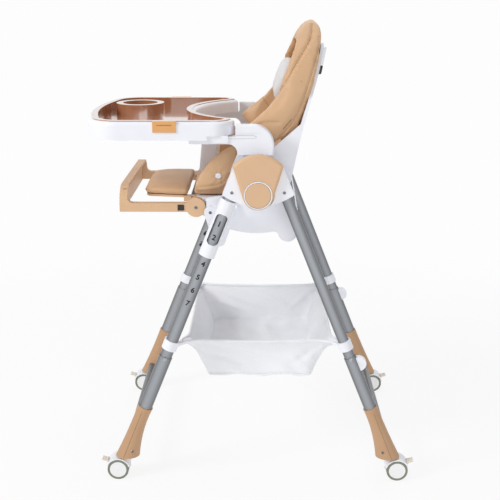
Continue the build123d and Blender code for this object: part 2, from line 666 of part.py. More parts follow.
# Seat base: a moulded tub with a pan for the pad and a nose for the footrest's axle
def seat_outline():
    """Side outline of the tub."""
    pivot_y, pivot_z = FOOT_PIVOT
    belly_front = (pivot_y + NOSE_R, pivot_z - NOSE_R - SEAT_WALL)
    lobe_front = (SEAT_LOBE[0] - SEAT_LOBE_FRONT[0], SEAT_LOBE[1] + SEAT_LOBE_FRONT[1])
    lobe_rear = (SEAT_REAR, SEAT_LOBE[1] + SEAT_LOBE_RISE)
    with BuildSketch() as outline:
        with BuildLine():
            ThreePointArc((pivot_y, pivot_z - NOSE_R), (pivot_y - NOSE_R, pivot_z), (pivot_y, SEAT_PAN_Z))
            Line((pivot_y, SEAT_PAN_Z), SEAT_RIM_DIP)
            Line(SEAT_RIM_DIP, (SEAT_RIM_FRONT, SEAT_RIM_Z))
            Line((SEAT_RIM_FRONT, SEAT_RIM_Z), (SEAT_RIM_REAR, SEAT_RIM_Z))
            Line((SEAT_RIM_REAR, SEAT_RIM_Z), (SEAT_REAR, SEAT_REAR_Z))
            Line((SEAT_REAR, SEAT_REAR_Z), lobe_rear)
            ThreePointArc(lobe_rear, SEAT_LOBE, lobe_front)
            ThreePointArc(lobe_front, SEAT_BELLY, belly_front)
            Line(belly_front, (pivot_y, pivot_z - NOSE_R))
        make_face()
        fillet(outline.vertices().filter_by(lambda corner: corner.Y < pivot_z - NOSE_R), SEAT_CORNER_R)
    return outline.sketch


with BuildPart() as seat_base:
    with BuildSketch(side_plane(0)):
        add(seat_outline())
    extrude(amount=SEAT_HALF, both=True)
    low_edges = seat_base.faces().filter_by(Axis.X).edges().filter_by(
        lambda edge: edge.center().Z < SEAT_PAN_Z - NOSE_R and edge.center().Y > HUB_Y + FOOT_PIVOT[0] + NOSE_R
    )
    fillet(low_edges, SEAT_EDGE)
    with BuildSketch(side_plane(0)):
        add(offset(seat_outline(), -SEAT_WALL, kind=Kind.INTERSECTION, mode=Mode.PRIVATE))
        with Locations((0, 2 * SEAT_WALL)):
            add(offset(seat_outline(), -SEAT_WALL, kind=Kind.INTERSECTION, mode=Mode.PRIVATE))
    extrude(amount=SEAT_HALF - SEAT_WALL, both=True, mode=Mode.SUBTRACT)
    # The nose is narrower than the tub, so that the footrest's arms swing beside it
    with BuildSketch(side_plane(NOSE_HALF)):
        with Locations((FOOT_PIVOT[0] + FOOT_DISC_R + 2 * SOFT_CLEAR, FOOT_PIVOT[1])):
            Rectangle(4 * FOOT_DISC_R, 4 * FOOT_DISC_R, align=(Align.MAX, Align.CENTER))
    extrude(amount=SEAT_HALF, mode=Mode.SUBTRACT)
    mirror(about=Plane.YZ, mode=Mode.INTERSECT)
    # Side walls of the nose, the pan, and the bosses of the recline pins
    with BuildSketch(side_plane(NOSE_HALF)):
        add(seat_outline())
        with Locations((FOOT_PIVOT[0] + FOOT_DISC_R + 2 * SOFT_CLEAR + SEAT_WALL, HUB_Z)):
            Rectangle(2 * SEAT_HALF, 2 * SEAT_HALF, align=(Align.MIN, Align.CENTER), mode=Mode.SUBTRACT)
        with Locations((FOOT_PIVOT[0], SEAT_PAN_Z)):
            Rectangle(2 * SEAT_HALF, 2 * SEAT_HALF, align=(Align.CENTER, Align.MIN), mode=Mode.SUBTRACT)
    extrude(amount=-SEAT_WALL)
    mirror(about=Plane.YZ)
    with BuildSketch(side_plane(NOSE_HALF - SEAT_WALL)):
        with Locations((FOOT_PIVOT[0] + FOOT_DISC_R + 2 * SOFT_CLEAR, SEAT_PAN_Z - NOSE_R)):
            Rectangle(SEAT_WALL, 2 * NOSE_R, align=(Align.MIN, Align.CENTER))
    extrude(amount=SEAT_HALF - SEAT_WALL - NOSE_HALF + SEAT_WALL)
    mirror(about=Plane.YZ)
    with BuildSketch(floor_plane(SEAT_PAN_Z)):
        with Locations((0, FOOT_PIVOT[0])):
            Rectangle(2 * NOSE_HALF - SEAT_WALL, FOOT_DISC_R, align=(Align.CENTER, Align.MIN))
        pan_wide = RECLINE_PIVOT[0] - CHEEK_R - 2 * SOFT_CLEAR
        with Locations((0, FOOT_PIVOT[0] + FOOT_DISC_R)):
            Rectangle(
                2 * SEAT_HALF - SEAT_WALL,
                pan_wide - FOOT_PIVOT[0] - FOOT_DISC_R,
                align=(Align.CENTER, Align.MIN),
            )
        with Locations((0, pan_wide)):
            Rectangle(2 * SEAT_PAN_NARROW, SEAT_PAN_REAR - pan_wide, align=(Align.CENTER, Align.MIN))
    extrude(amount=-SEAT_WALL)
    with BuildSketch(side_plane(CHEEK_OUT + RUN_CLEAR)):
        with Locations(RECLINE_PIVOT):
            Circle(RECLINE_BOSS_R)
    extrude(amount=SEAT_HALF - CHEEK_OUT - SEAT_WALL)
    with BuildSketch(side_plane(CHEEK_OUT - CHEEK_WALL)):
        with Locations(RECLINE_PIVOT):
            Circle(RECLINE_PIN_R)
    extrude(amount=CHEEK_WALL + SEAT_WALL)
    mirror(about=Plane.YZ)
    # Slots for the leg rest's ears, and the bore of the footrest's axle
    with BuildSketch(side_plane(LEG_REST_EAR_X)):
        with Locations(FOOT_PIVOT):
            Circle(LEG_REST_EAR_R + SOFT_CLEAR)
            Rectangle(3 * NOSE_R, 2 * (LEG_REST_EAR_R + SOFT_CLEAR), align=(Align.MAX, Align.CENTER))
    extrude(amount=LEG_REST_EAR / 2 + SOFT_CLEAR, both=True, mode=Mode.SUBTRACT)
    mirror(about=Plane.YZ, mode=Mode.INTERSECT)
    with BuildSketch(side_plane(0)):
        with Locations(FOOT_PIVOT):
            Circle(FOOT_AXLE_R + SEAT_CLEAR)
    extrude(amount=SEAT_HALF, both=True, mode=Mode.SUBTRACT)
save(seat_base, "seat_base")

with BuildPart() as foot_axle:
    with BuildSketch(side_plane(0)):
        with Locations(FOOT_PIVOT):
            Circle(FOOT_AXLE_R)
    extrude(amount=FOOT_ARM_IN + FOOT_ARM_WIDTH, both=True)
save(foot_axle, "footrest_axle")

# Crotch post between the child's legs, on the pan
with BuildPart() as post:
    with BuildSketch(side_plane(0)):
        with BuildLine():
            Polyline(
                (POST_FRONT_FOOT, SEAT_PAN_Z),
                (POST_FRONT_TOP, POST_TOP_Z),
                (POST_FRONT_TOP + POST_LENGTH, POST_TOP_Z),
                (POST_FRONT_FOOT + POST_LENGTH, SEAT_PAN_Z),
                close=True,
            )
        make_face()
    extrude(amount=POST_HALF, both=True)
    upright = post.edges().filter_by(lambda edge: edge.length > POST_TOP_Z - SEAT_PAN_Z)
    fillet(upright, POST_EDGE)
save(post, "crotch_post")

# Seat pad: a crowned cushion with a bolster wing on each side
with BuildPart() as seat_pad:
    pad_foot = SEAT_PAN_Z + RUN_CLEAR
    with BuildSketch(front_plane().offset(-PAD_REAR)):
        with BuildLine():
            Line((-PAD_HALF, pad_foot), (PAD_HALF, pad_foot))
            Line((PAD_HALF, pad_foot), (PAD_HALF, pad_foot + PAD_THICK))
            ThreePointArc(
                (PAD_HALF, pad_foot + PAD_THICK),
                (0, pad_foot + PAD_THICK + PAD_CROWN),
                (-PAD_HALF, pad_foot + PAD_THICK),
            )
            Line((-PAD_HALF, pad_foot + PAD_THICK), (-PAD_HALF, pad_foot))
        make_face()
    extrude(amount=PAD_REAR - PAD_FRONT)
    fillet(seat_pad.edges().filter_by(lambda edge: edge.center().Z > pad_foot + PAD_THICK / 2), PAD_EDGE)
    with BuildSketch(floor_plane(SEAT_PAN_Z)):
        with Locations((0, POST_FRONT_FOOT - SOFT_CLEAR)):
            Rectangle(
                2 * (POST_HALF + SOFT_CLEAR),
                POST_LENGTH + POST_FRONT_TOP - POST_FRONT_FOOT,
                align=(Align.CENTER, Align.MIN),
            )
    extrude(amount=4 * PAD_THICK, mode=Mode.SUBTRACT)
    with BuildPart(mode=Mode.PRIVATE) as wing:
        with BuildSketch(side_plane(WING_IN)):
            with BuildLine():
                ThreePointArc(WING_TIP, WING_BROW, WING_TOP)
                Line(WING_TOP, WING_TAIL)
                ThreePointArc(WING_TAIL, WING_HEEL, WING_TIP)
            make_face()
            fillet(vertices(), WING_CORNER_R)
        extrude(amount=WING_WIDTH)
        fillet(wing.faces().filter_by(Axis.X).edges(), WING_EDGE)
    add(wing.part)
    mirror(wing.part, about=Plane.YZ)
save(seat_pad, "seat_pad")

# Armrests: a side plate that hangs the arm on the seat, and the rail that carries the tray
with BuildPart() as armrest:
    arm_mid_z = ARM_TOP_Z - ARM_END_R
    with BuildSketch(side_plane(SEAT_HALF)) as arm_outline:
        with BuildLine():
            Polyline(
                (RAIL_STEP, RAIL_TOP_Z),
                (RAIL_FRONT, RAIL_TOP_Z),
                (RAIL_FRONT, RAIL_BOTTOM_Z),
                (ARM_CROOK[0], RAIL_BOTTOM_Z),
                ARM_CROOK,
                (ARM_FOOT[0], ARM_SHANK_Z),
                (ARM_FOOT[0], ARM_FOOT_Z),
                (ARM_FOOT[1], ARM_FOOT_Z),
                (ARM_END_MID + ARM_END_R, arm_mid_z),
            )
            ThreePointArc(
                (ARM_END_MID + ARM_END_R, arm_mid_z),
                (ARM_END_MID + ARM_END_R * cos(radians(45)), arm_mid_z + ARM_END_R * sin(radians(45))),
                (ARM_END_MID, ARM_TOP_Z),
            )
            Polyline((ARM_END_MID, ARM_TOP_Z), (RAIL_STEP, ARM_TOP_Z), (RAIL_STEP, RAIL_TOP_Z))
        make_face()
        crook = arm_outline.vertices().sort_by_distance((ARM_CROOK[0], RAIL_BOTTOM_Z))[0]
        fillet(crook, ARM_CROOK_R - ARM_EDGE)
    extrude(amount=ARM_PLATE)
    with BuildSketch(side_plane(SEAT_HALF + ARM_PLATE)):
        add(arm_outline.sketch_local)
        with Locations((0, RAIL_BOTTOM_Z - ARM_CROOK_R)):
            Rectangle(6 * ARM_END_R, 6 * ARM_END_R, align=(Align.CENTER, Align.MAX), mode=Mode.SUBTRACT)
    extrude(amount=ARM_WIDTH - ARM_PLATE)
    rounded = armrest.edges().filter_by(
        lambda edge: edge.center().Z > RAIL_TOP_Z + ARM_EDGE
        and abs(edge.center().X - SEAT_HALF - ARM_WIDTH) < ARM_EDGE
    )
    fillet(rounded.filter_by(lambda edge: edge.center().Y > HUB_Y + RAIL_STEP + ARM_EDGE), ARM_EDGE)
    with BuildSketch(side_plane(SEAT_HALF + ARM_WIDTH)):
        with Locations((RAIL_STEP, ARM_GROOVE_Z)):
            Rectangle(ARM_GROOVE[0], ARM_GROOVE[1], align=(Align.MIN, Align.CENTER))
    extrude(amount=-ARM_GROOVE[2], mode=Mode.SUBTRACT)
save_pair(armrest, "armrest")


# Back shell: a curved panel between two cheeks that turn on the recline pins
def shell_band(front_gap, rear_gap):
    """Side section of the panel between two offsets in front of its rear face."""
    with BuildSketch() as band:
        with BuildLine():
            rear = Spline(*[(y - rear_gap, z) for y, z in SHELL_REAR])
            front = Spline(*[(y - front_gap, z) for y, z in SHELL_REAR])
            Line(rear @ 0, front @ 0)
            Line(rear @ 1, front @ 1)
        make_face()
    return band.sketch


def shell_front(grow):
    """Front outline of the panel: upright sides, then a taper to a rounded top."""
    half = CHEEK_OUT + grow
    top = SHELL_REAR[-1][1] + grow
    with BuildSketch() as outline:
        with BuildLine():
            Polyline(
                (-half, SHELL_REAR[0][1] - grow),
                (half, SHELL_REAR[0][1] - grow),
                (half, SHELL_SHOULDER_Z),
                (SHELL_TOP_HALF + grow, top),
                (-SHELL_TOP_HALF - grow, top),
                (-half, SHELL_SHOULDER_Z),
                close=True,
            )
        make_face()
        upper = outline.vertices().filter_by(lambda corner: corner.Y > SHELL_SHOULDER_Z - grow - SOFT_CLEAR)
        fillet(upper, SHELL_CORNER_R)
    return outline.sketch


with BuildPart() as back_shell:
    with BuildSketch(side_plane(0)):
        add(shell_band(SHELL_WALL, 0))
    extrude(amount=CHEEK_OUT, both=True)
    with BuildSketch(front_plane()):
        add(shell_front(0))
    extrude(amount=4 * CHEEK_OUT, both=True, mode=Mode.INTERSECT)
    with BuildSketch(side_plane(CHEEK_OUT - CHEEK_WALL)):
        with BuildLine():
            rear_edge = Spline(*SHELL_REAR[:3])
            pad_side = Spline(CHEEK_TOP, *[(y, z - 2 * SOFT_CLEAR) for y, z in BACK_LOWER_EDGE[1:3]])
            Line(rear_edge @ 1, pad_side @ 0)
            Line(pad_side @ 1, (RECLINE_PIVOT[0] - CHEEK_R, RECLINE_PIVOT[1]))
            Line((RECLINE_PIVOT[0] - CHEEK_R, RECLINE_PIVOT[1]), (RECLINE_PIVOT[0], RECLINE_PIVOT[1] - CHEEK_R))
            Line((RECLINE_PIVOT[0], RECLINE_PIVOT[1] - CHEEK_R), rear_edge @ 0)
        make_face()
        with Locations(RECLINE_PIVOT):
            Circle(CHEEK_R)
            Circle(RECLINE_PIN_R + RUN_CLEAR, mode=Mode.SUBTRACT)
    extrude(amount=CHEEK_WALL)
    mirror(about=Plane.YZ)
save(back_shell, "back_shell")

# Back pad: a bucket of padding with deep side wings that wraps the shell's edges
def back_front(inset):
    """Front outline of the pad: upright sides under a half ellipse."""
    half = BACK_HALF - inset
    with BuildSketch() as outline:
        with Locations((0, BACK_SHOULDER_Z)):
            Ellipse(half, BACK_TOP_Z - BACK_SHOULDER_Z - inset)
            Rectangle(2 * half, BACK_SHOULDER_Z - BACK_FOOT_Z, align=(Align.CENTER, Align.MAX))
    return outline.sketch


with BuildPart() as back_pad:
    with BuildSketch(side_plane(0)):
        with BuildLine():
            Spline(*BACK_FRONT_EDGE)
            Spline(*BACK_REAR_EDGE)
            Spline(*BACK_LOWER_EDGE)
            Line(BACK_LOWER_EDGE[-1], BACK_FRONT_EDGE[0])
        make_face()
    extrude(amount=BACK_HALF, both=True)
    with BuildSketch(side_plane(0)):
        add(shell_band(SHELL_WALL + BACK_THICK, SHELL_WALL))
    extrude(amount=BACK_FOOT_HALF, both=True)
    with BuildSketch(front_plane()):
        add(back_front(0))
    extrude(amount=4 * BACK_HALF, both=True, mode=Mode.INTERSECT)
    # Hollow for the child, then the pocket for the shell
    with BuildPart(mode=Mode.PRIVATE) as hollow:
        with BuildSketch(side_plane(0)):
            add(shell_band(SHELL_WALL + BACK_THICK + BACK_HOLLOW, SHELL_WALL + BACK_THICK))
        extrude(amount=BACK_HALF, both=True)
        with BuildSketch(front_plane()):
            add(back_front(BACK_WING))
        extrude(amount=4 * BACK_HALF, both=True, mode=Mode.INTERSECT)
    add(hollow.part, mode=Mode.SUBTRACT)
    with BuildPart(mode=Mode.PRIVATE) as pocket:
        with BuildSketch(side_plane(0)):
            add(shell_band(SHELL_WALL + SOFT_CLEAR, -2 * BACK_WING))
        extrude(amount=2 * CHEEK_OUT, both=True)
        with BuildSketch(front_plane()):
            add(shell_front(SOFT_CLEAR))
        extrude(amount=4 * CHEEK_OUT, both=True, mode=Mode.INTERSECT)
    add(pocket.part, mode=Mode.SUBTRACT)
save(back_pad, "back_pad")

# Head cushion in the hollow of the pad
shell_curve = Spline(*SHELL_REAR)
cushion_seat = shell_curve @ ((HEAD_CUSHION_Z - SHELL_REAR[0][1]) / (SHELL_REAR[-1][1] - SHELL_REAR[0][1]))
cushion_rise = shell_curve % ((HEAD_CUSHION_Z - SHELL_REAR[0][1]) / (SHELL_REAR[-1][1] - SHELL_REAR[0][1]))
cushion_plane = Plane(
    (0, HUB_Y + cushion_seat.X - SHELL_WALL - BACK_THICK - HEAD_CUSHION_GAP, cushion_seat.Y),
    x_dir=(1, 0, 0),
    z_dir=(0, -cushion_rise.Y, cushion_rise.X),
)
with BuildPart() as head_cushion:
    with BuildSketch(cushion_plane):
        RectangleRounded(HEAD_CUSHION[0], HEAD_CUSHION[1], HEAD_CUSHION_R)
    extrude(amount=HEAD_CUSHION[2])
    fillet(head_cushion.faces().filter_by(GeomType.PLANE).edges(), HEAD_CUSHION_EDGE)
save(head_cushion, "head_cushion")


# Recline handle on the rear of the shell, with its squeeze lever
def rear_strip(foot_z, top_z, start, thick):
    """Side section of a strip that follows the shell's rear face between two heights."""
    low_y, low_z = SHELL_REAR[3]
    high_y, high_z = SHELL_REAR[4]
    slope = (high_y - low_y) / (high_z - low_z)
    foot_y = low_y + (foot_z - low_z) * slope + start
    top_y = low_y + (top_z - low_z) * slope + start
    with BuildSketch() as strip:
        with BuildLine():
            Polyline(
                (foot_y, foot_z), (top_y, top_z), (top_y + thick, top_z), (foot_y + thick, foot_z), close=True
            )
        make_face()
    return strip.sketch


with BuildPart() as handle:
    with BuildSketch(side_plane(0)):
        add(rear_strip(HANDLE_FOOT_Z, HANDLE_TOP_Z, HANDLE_SEAT, HANDLE_THICK))
    extrude(amount=HANDLE_HALF, both=True)
    fillet(handle.faces().sort_by(Axis.Y)[-1].edges(), HANDLE_EDGE)
save(handle, "recline_handle")

with BuildPart() as lever:
    with BuildSketch(side_plane(0)):
        add(rear_strip(HANDLE_FOOT_Z - LEVER_DROP, HANDLE_FOOT_Z - 2 * RUN_CLEAR, LEVER_SEAT, LEVER_THICK))
    extrude(amount=LEVER_HALF, both=True)
    fillet(lever.faces().sort_by(Axis.Y)[-1].edges(), HANDLE_EDGE)
    with BuildSketch(side_plane(-2 * LEVER_HALF)):
        with Locations(LEVER_PIN):
            Circle(LEVER_PIN_R)
    extrude(amount=4 * LEVER_HALF, mode=Mode.SUBTRACT)
save(lever, "recline_lever")

# Footrest: two arms on discs, and an upright plate between them
with BuildPart() as foot_frame:
    pivot_y, pivot_z = FOOT_PIVOT
    arm_foot = pivot_z - FOOT_ARM_HEIGHT / 2
    upright_top = arm_foot + FOOT_ARM_HEIGHT + FOOT_CROOK_R + RUN_CLEAR
    with BuildSketch(side_plane(FOOT_ARM_IN)) as foot_side:
        with BuildLine():
            Polyline(
                (pivot_y, arm_foot),
                (pivot_y - FOOT_REACH, arm_foot),
                (pivot_y - FOOT_REACH, upright_top),
                (pivot_y - FOOT_REACH + FOOT_PLATE_THICK, upright_top),
                (pivot_y - FOOT_REACH + FOOT_PLATE_THICK, arm_foot + FOOT_ARM_HEIGHT),
                (pivot_y, arm_foot + FOOT_ARM_HEIGHT),
                close=True,
            )
        make_face()
        inner = foot_side.vertices().sort_by_distance(
            (pivot_y - FOOT_REACH + FOOT_PLATE_THICK, arm_foot + FOOT_ARM_HEIGHT)
        )[0]
        fillet(inner, FOOT_CROOK_R)
        with Locations(FOOT_PIVOT):
            Circle(FOOT_DISC_R)
            Circle(FOOT_AXLE_R + RUN_CLEAR, mode=Mode.SUBTRACT)
    extrude(amount=FOOT_ARM_WIDTH)
    button_x = pivot_y - FOOT_BUTTON_OUT
    with BuildSketch(side_plane(FOOT_ARM_IN + FOOT_ARM_WIDTH)):
        with Locations((button_x, pivot_z)):
            Rectangle(FOOT_BUTTON[0] + 2 * RUN_CLEAR, FOOT_BUTTON[1] + 2 * RUN_CLEAR)
    extrude(amount=-FOOT_ARM_WIDTH + FOOT_BUTTON_PROUD, mode=Mode.SUBTRACT)
    mirror(about=Plane.YZ)
    # The plate is curved along its top and thinner between the arms
    with BuildSketch(front_plane().offset(FOOT_REACH - pivot_y)) as plate_outline:
        foot_half = FOOT_ARM_IN + FOOT_ARM_WIDTH
        with Locations((0, arm_foot)):
            Rectangle(2 * foot_half, FOOT_PLATE_TOP_Z - arm_foot, align=(Align.CENTER, Align.MIN))
        fillet(plate_outline.vertices().group_by(Axis.Y)[-1], FOOT_PLATE_R)
    extrude(amount=-FOOT_PLATE_WALL)
    with BuildSketch(front_plane().offset(FOOT_REACH - pivot_y)) as rim_outline:
        with Locations((0, FOOT_PLATE_TOP_Z - FOOT_PLATE_R)):
            Rectangle(2 * foot_half, FOOT_PLATE_R, align=(Align.CENTER, Align.MIN))
        fillet(rim_outline.vertices().group_by(Axis.Y)[-1], FOOT_PLATE_R - RUN_CLEAR)
        with Locations((0, FOOT_PLATE_TOP_Z - FOOT_PLATE_R)):
            Rectangle(
                2 * FOOT_ARM_IN,
                FOOT_PLATE_R - FOOT_PLATE_WALL,
                align=(Align.CENTER, Align.MIN),
                mode=Mode.SUBTRACT,
            )
    extrude(amount=-FOOT_PLATE_THICK)
    # The uprights end within the plate's round corners
    with BuildSketch(front_plane().offset(FOOT_REACH - pivot_y)):
        with Locations((0, FOOT_PLATE_TOP_Z - FOOT_PLATE_R)):
            Rectangle(2 * foot_half, FOOT_PLATE_R, align=(Align.CENTER, Align.MIN))
        add(plate_outline.sketch_local, mode=Mode.SUBTRACT)
    extrude(amount=-FOOT_PLATE_THICK - FOOT_CROOK_R, mode=Mode.SUBTRACT)
save(foot_frame, "foot_frame")

with BuildPart() as foot_button:
    with BuildSketch(side_plane(FOOT_ARM_IN + FOOT_ARM_WIDTH + FOOT_BUTTON_PROUD)):
        with Locations((button_x, pivot_z)):
            Rectangle(FOOT_BUTTON[0], FOOT_BUTTON[1])
    extrude(amount=-FOOT_BUTTON[2])
    fillet(foot_button.faces().sort_by(Axis.X)[-1].edges(), COVER_EDGE)
save_pair(foot_button, "foot_button")

# Leg rest: a plate on two ears that turn on the footrest's axle, and its crowned pad
with BuildPart() as leg_rest_plate:
    with BuildSketch(floor_plane(LEG_REST_Z - LEG_REST_PLATE)):
        with BuildLine():
            Polyline(
                (-LEG_REST_HALF, LEG_REST_REAR),
                (LEG_REST_HALF, LEG_REST_REAR),
                (LEG_REST_NOSE_HALF, LEG_REST_FRONT),
                (-LEG_REST_NOSE_HALF, LEG_REST_FRONT),
                close=True,
            )
        make_face()
        fillet(vertices().group_by(Axis.Y)[0], LEG_REST_CORNER_R)
        offset(amount=-LEG_REST_EDGE)
    extrude(amount=LEG_REST_PLATE)
    with BuildSketch(side_plane(LEG_REST_EAR_X)):
        with Locations(FOOT_PIVOT):
            Circle(LEG_REST_EAR_R)
        with BuildLine():
            Polyline(
                FOOT_PIVOT,
                (pivot_y, pivot_z + LEG_REST_EAR_R),
                (LEG_REST_REAR - 2 * LEG_REST_EDGE, LEG_REST_Z),
                (LEG_REST_REAR - 2 * LEG_REST_EDGE, pivot_z),
                close=True,
            )
        make_face()
        with Locations(FOOT_PIVOT):
            Circle(FOOT_AXLE_R + RUN_CLEAR, mode=Mode.SUBTRACT)
    extrude(amount=LEG_REST_EAR / 2, both=True)
    mirror(about=Plane.YZ)
save(leg_rest_plate, "leg_rest_plate")

with BuildPart() as leg_rest_pad:
    pad_top = LEG_REST_Z + LEG_REST_PAD
    with BuildSketch(front_plane().offset(-LEG_REST_REAR)):
        with BuildLine():
            Line((-LEG_REST_HALF, LEG_REST_Z), (LEG_REST_HALF, LEG_REST_Z))
            Line((LEG_REST_HALF, LEG_REST_Z), (LEG_REST_HALF, pad_top))
            ThreePointArc((LEG_REST_HALF, pad_top), (0, pad_top + LEG_REST_CROWN), (-LEG_REST_HALF, pad_top))
            Line((-LEG_REST_HALF, pad_top), (-LEG_REST_HALF, LEG_REST_Z))
        make_face()
    extrude(amount=LEG_REST_REAR - LEG_REST_FRONT)
    with BuildSketch(floor_plane(LEG_REST_Z)):
        with BuildLine():
            Polyline(
                (-LEG_REST_HALF, LEG_REST_REAR),
                (LEG_REST_HALF, LEG_REST_REAR),
                (LEG_REST_NOSE_HALF, LEG_REST_FRONT),
                (-LEG_REST_NOSE_HALF, LEG_REST_FRONT),
                close=True,
            )
        make_face()
        fillet(vertices().group_by(Axis.Y)[0], LEG_REST_CORNER_R)
    extrude(amount=4 * LEG_REST_PAD, mode=Mode.INTERSECT)
    upper_edges = leg_rest_pad.edges().filter_by(lambda edge: edge.center().Z > pad_top - LEG_REST_EDGE)
    fillet(upper_edges, LEG_REST_EDGE)
save(leg_rest_pad, "leg_rest_pad")


# Tray: a hollow base on runners, a lift-out insert with a cup well, and the insert's side clips
def tray_outline(inset):
    """Plan of the tray drawn in by an inset: round corners, bowed front, hollow rear."""
    with BuildSketch() as outline:
        front_mid = (TRAY_HALF - TRAY_FRONT_R, TRAY_FRONT_BULGE + TRAY_FRONT_R - TRAY_REACH)
        rear_mid = (TRAY_HALF - TRAY_REAR_R, TRAY_REAR - TRAY_REAR_R)
        for flip in (-1, 1):
            with Locations((flip * front_mid[0], front_mid[1])):
                Circle(TRAY_FRONT_R - inset)
            with Locations((flip * rear_mid[0], rear_mid[1])):
                Circle(TRAY_REAR_R - inset)
        with BuildLine():
            bow = ThreePointArc(
                (-front_mid[0], TRAY_FRONT_BULGE - TRAY_REACH + inset),
                (0, inset - TRAY_REACH),
                (front_mid[0], TRAY_FRONT_BULGE - TRAY_REACH + inset),
            )
            Line(bow @ 1, bow @ 0)
        make_face()
        make_hull()
        with Locations((0, TRAY_BELLY + TRAY_BELLY_R)):
            Circle(TRAY_BELLY_R + inset, mode=Mode.SUBTRACT)
        tips = outline.vertices().group_by(Axis.Y)[-1]
        fillet(tips, TRAY_TIP_R)
    return outline.sketch


with BuildPart() as tray_base:
    with BuildSketch(floor_plane(TRAY_BOTTOM_Z)):
        add(tray_outline(0))
    extrude(amount=TRAY_TOP_Z - TRAY_BOTTOM_Z)
    fillet(tray_base.faces().sort_by(Axis.Z)[-1].edges(), INSERT_INSET - SOFT_CLEAR)
    with BuildSketch(floor_plane(TRAY_BOTTOM_Z)):
        add(tray_outline(TRAY_SKIRT))
    extrude(amount=TRAY_FLOOR_Z - TRAY_BOTTOM_Z, mode=Mode.SUBTRACT)
    with BuildSketch(floor_plane(TRAY_FLOOR_Z + TRAY_FLOOR)):
        add(tray_outline(TRAY_RIM))
    extrude(amount=TRAY_TOP_Z, mode=Mode.SUBTRACT)
    # The skirt is cut back over the rails, and runners under the floor rest on them
    with BuildSketch(floor_plane(TRAY_BOTTOM_Z)):
        with Locations((0, TRAY_TAIL)):
            Rectangle(4 * TRAY_HALF, TRAY_REACH, align=(Align.CENTER, Align.MIN))
    extrude(amount=TRAY_FLOOR_Z - TRAY_BOTTOM_Z, mode=Mode.SUBTRACT)
    rail_mid = SEAT_HALF + ARM_WIDTH / 2
    lip_mid = SEAT_HALF + ARM_WIDTH + SOFT_CLEAR + RUNNER_LIP / 2
    with BuildSketch(floor_plane(TRAY_FLOOR_Z)):
        with Locations((rail_mid, RAIL_FRONT), (-rail_mid, RAIL_FRONT)):
            Rectangle(RUNNER[0], RUNNER[1], align=(Align.CENTER, Align.MIN))
    extrude(amount=RAIL_TOP_Z + RUN_CLEAR - TRAY_FLOOR_Z)
    with BuildSketch(floor_plane(TRAY_FLOOR_Z)):
        with Locations((lip_mid, RAIL_FRONT), (-lip_mid, RAIL_FRONT)):
            Rectangle(RUNNER_LIP, RUNNER[1], align=(Align.CENTER, Align.MIN))
    extrude(amount=RAIL_BOTTOM_Z + RUNNER_LIP - TRAY_FLOOR_Z)
save(tray_base, "tray_base")

with BuildPart() as tray_insert:
    floor_top = TRAY_FLOOR_Z + TRAY_FLOOR + SEAT_CLEAR
    with BuildSketch(floor_plane(TRAY_TOP_Z)):
        add(tray_outline(INSERT_INSET))
    extrude(amount=INSERT_RIM)
    with BuildSketch(floor_plane(floor_top)):
        add(tray_outline(TRAY_RIM + RUN_CLEAR))
    extrude(amount=TRAY_TOP_Z - floor_top)
    with BuildSketch(floor_plane(floor_top + INSERT_WALL)):
        add(tray_outline(TRAY_RIM + RUN_CLEAR + INSERT_WALL))
        with Locations(CUP_MID):
            Circle(CUP_RING_R, mode=Mode.SUBTRACT)
    extrude(amount=TRAY_TOP_Z, mode=Mode.SUBTRACT)
    with BuildSketch(floor_plane(floor_top + INSERT_WALL)):
        with Locations(CUP_MID):
            Circle(CUP_BORE_R)
    extrude(amount=TRAY_TOP_Z, mode=Mode.SUBTRACT)
save(tray_insert, "tray_insert")

with BuildPart() as clips:
    clip_in = TRAY_HALF + SEAT_CLEAR
    with BuildSketch(floor_plane(TRAY_TOP_Z)):
        with Locations((TRAY_HALF - INSERT_INSET, CLIP_MID)):
            clip_reach = clip_in + CLIP_WALL - TRAY_HALF + INSERT_INSET
            Rectangle(clip_reach, CLIP_LENGTH, align=(Align.MIN, Align.CENTER))
    extrude(amount=INSERT_RIM)
    with BuildSketch(floor_plane(TRAY_TOP_Z + INSERT_RIM)):
        with Locations((clip_in, CLIP_MID)):
            Rectangle(CLIP_WALL, CLIP_LENGTH, align=(Align.MIN, Align.CENTER))
    extrude(amount=-CLIP_DROP)
    mirror(about=Plane.YZ)
save(clips, "tray_clips")
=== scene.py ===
"""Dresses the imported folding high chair: soft pads, basket, printed numbers, fasteners and finishes."""
import json
from math import cos, pi, radians, sin

import bmesh
import bpy
import numpy as np
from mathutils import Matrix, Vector, noise
from mathutils.bvhtree import BVHTree
from mathutils.kdtree import KDTree


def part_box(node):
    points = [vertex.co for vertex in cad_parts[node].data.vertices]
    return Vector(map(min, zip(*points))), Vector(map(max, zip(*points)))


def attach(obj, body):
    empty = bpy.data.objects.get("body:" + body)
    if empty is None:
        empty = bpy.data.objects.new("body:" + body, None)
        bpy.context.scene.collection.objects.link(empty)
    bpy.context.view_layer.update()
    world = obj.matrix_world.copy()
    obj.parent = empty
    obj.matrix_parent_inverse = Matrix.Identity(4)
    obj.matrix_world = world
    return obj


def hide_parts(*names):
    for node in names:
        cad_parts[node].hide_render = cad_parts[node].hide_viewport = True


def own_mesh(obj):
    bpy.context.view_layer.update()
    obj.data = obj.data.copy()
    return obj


bl_info = {
    "name": "Folding High Chair",
    "version": (1, 0, 0),
    "blender": (4, 5, 0),
    "location": "View3D > Sidebar > High Chair",
    "description": "Builds the soft pads, basket, fasteners and finishes of a folding high chair",
    "category": "Object",
}

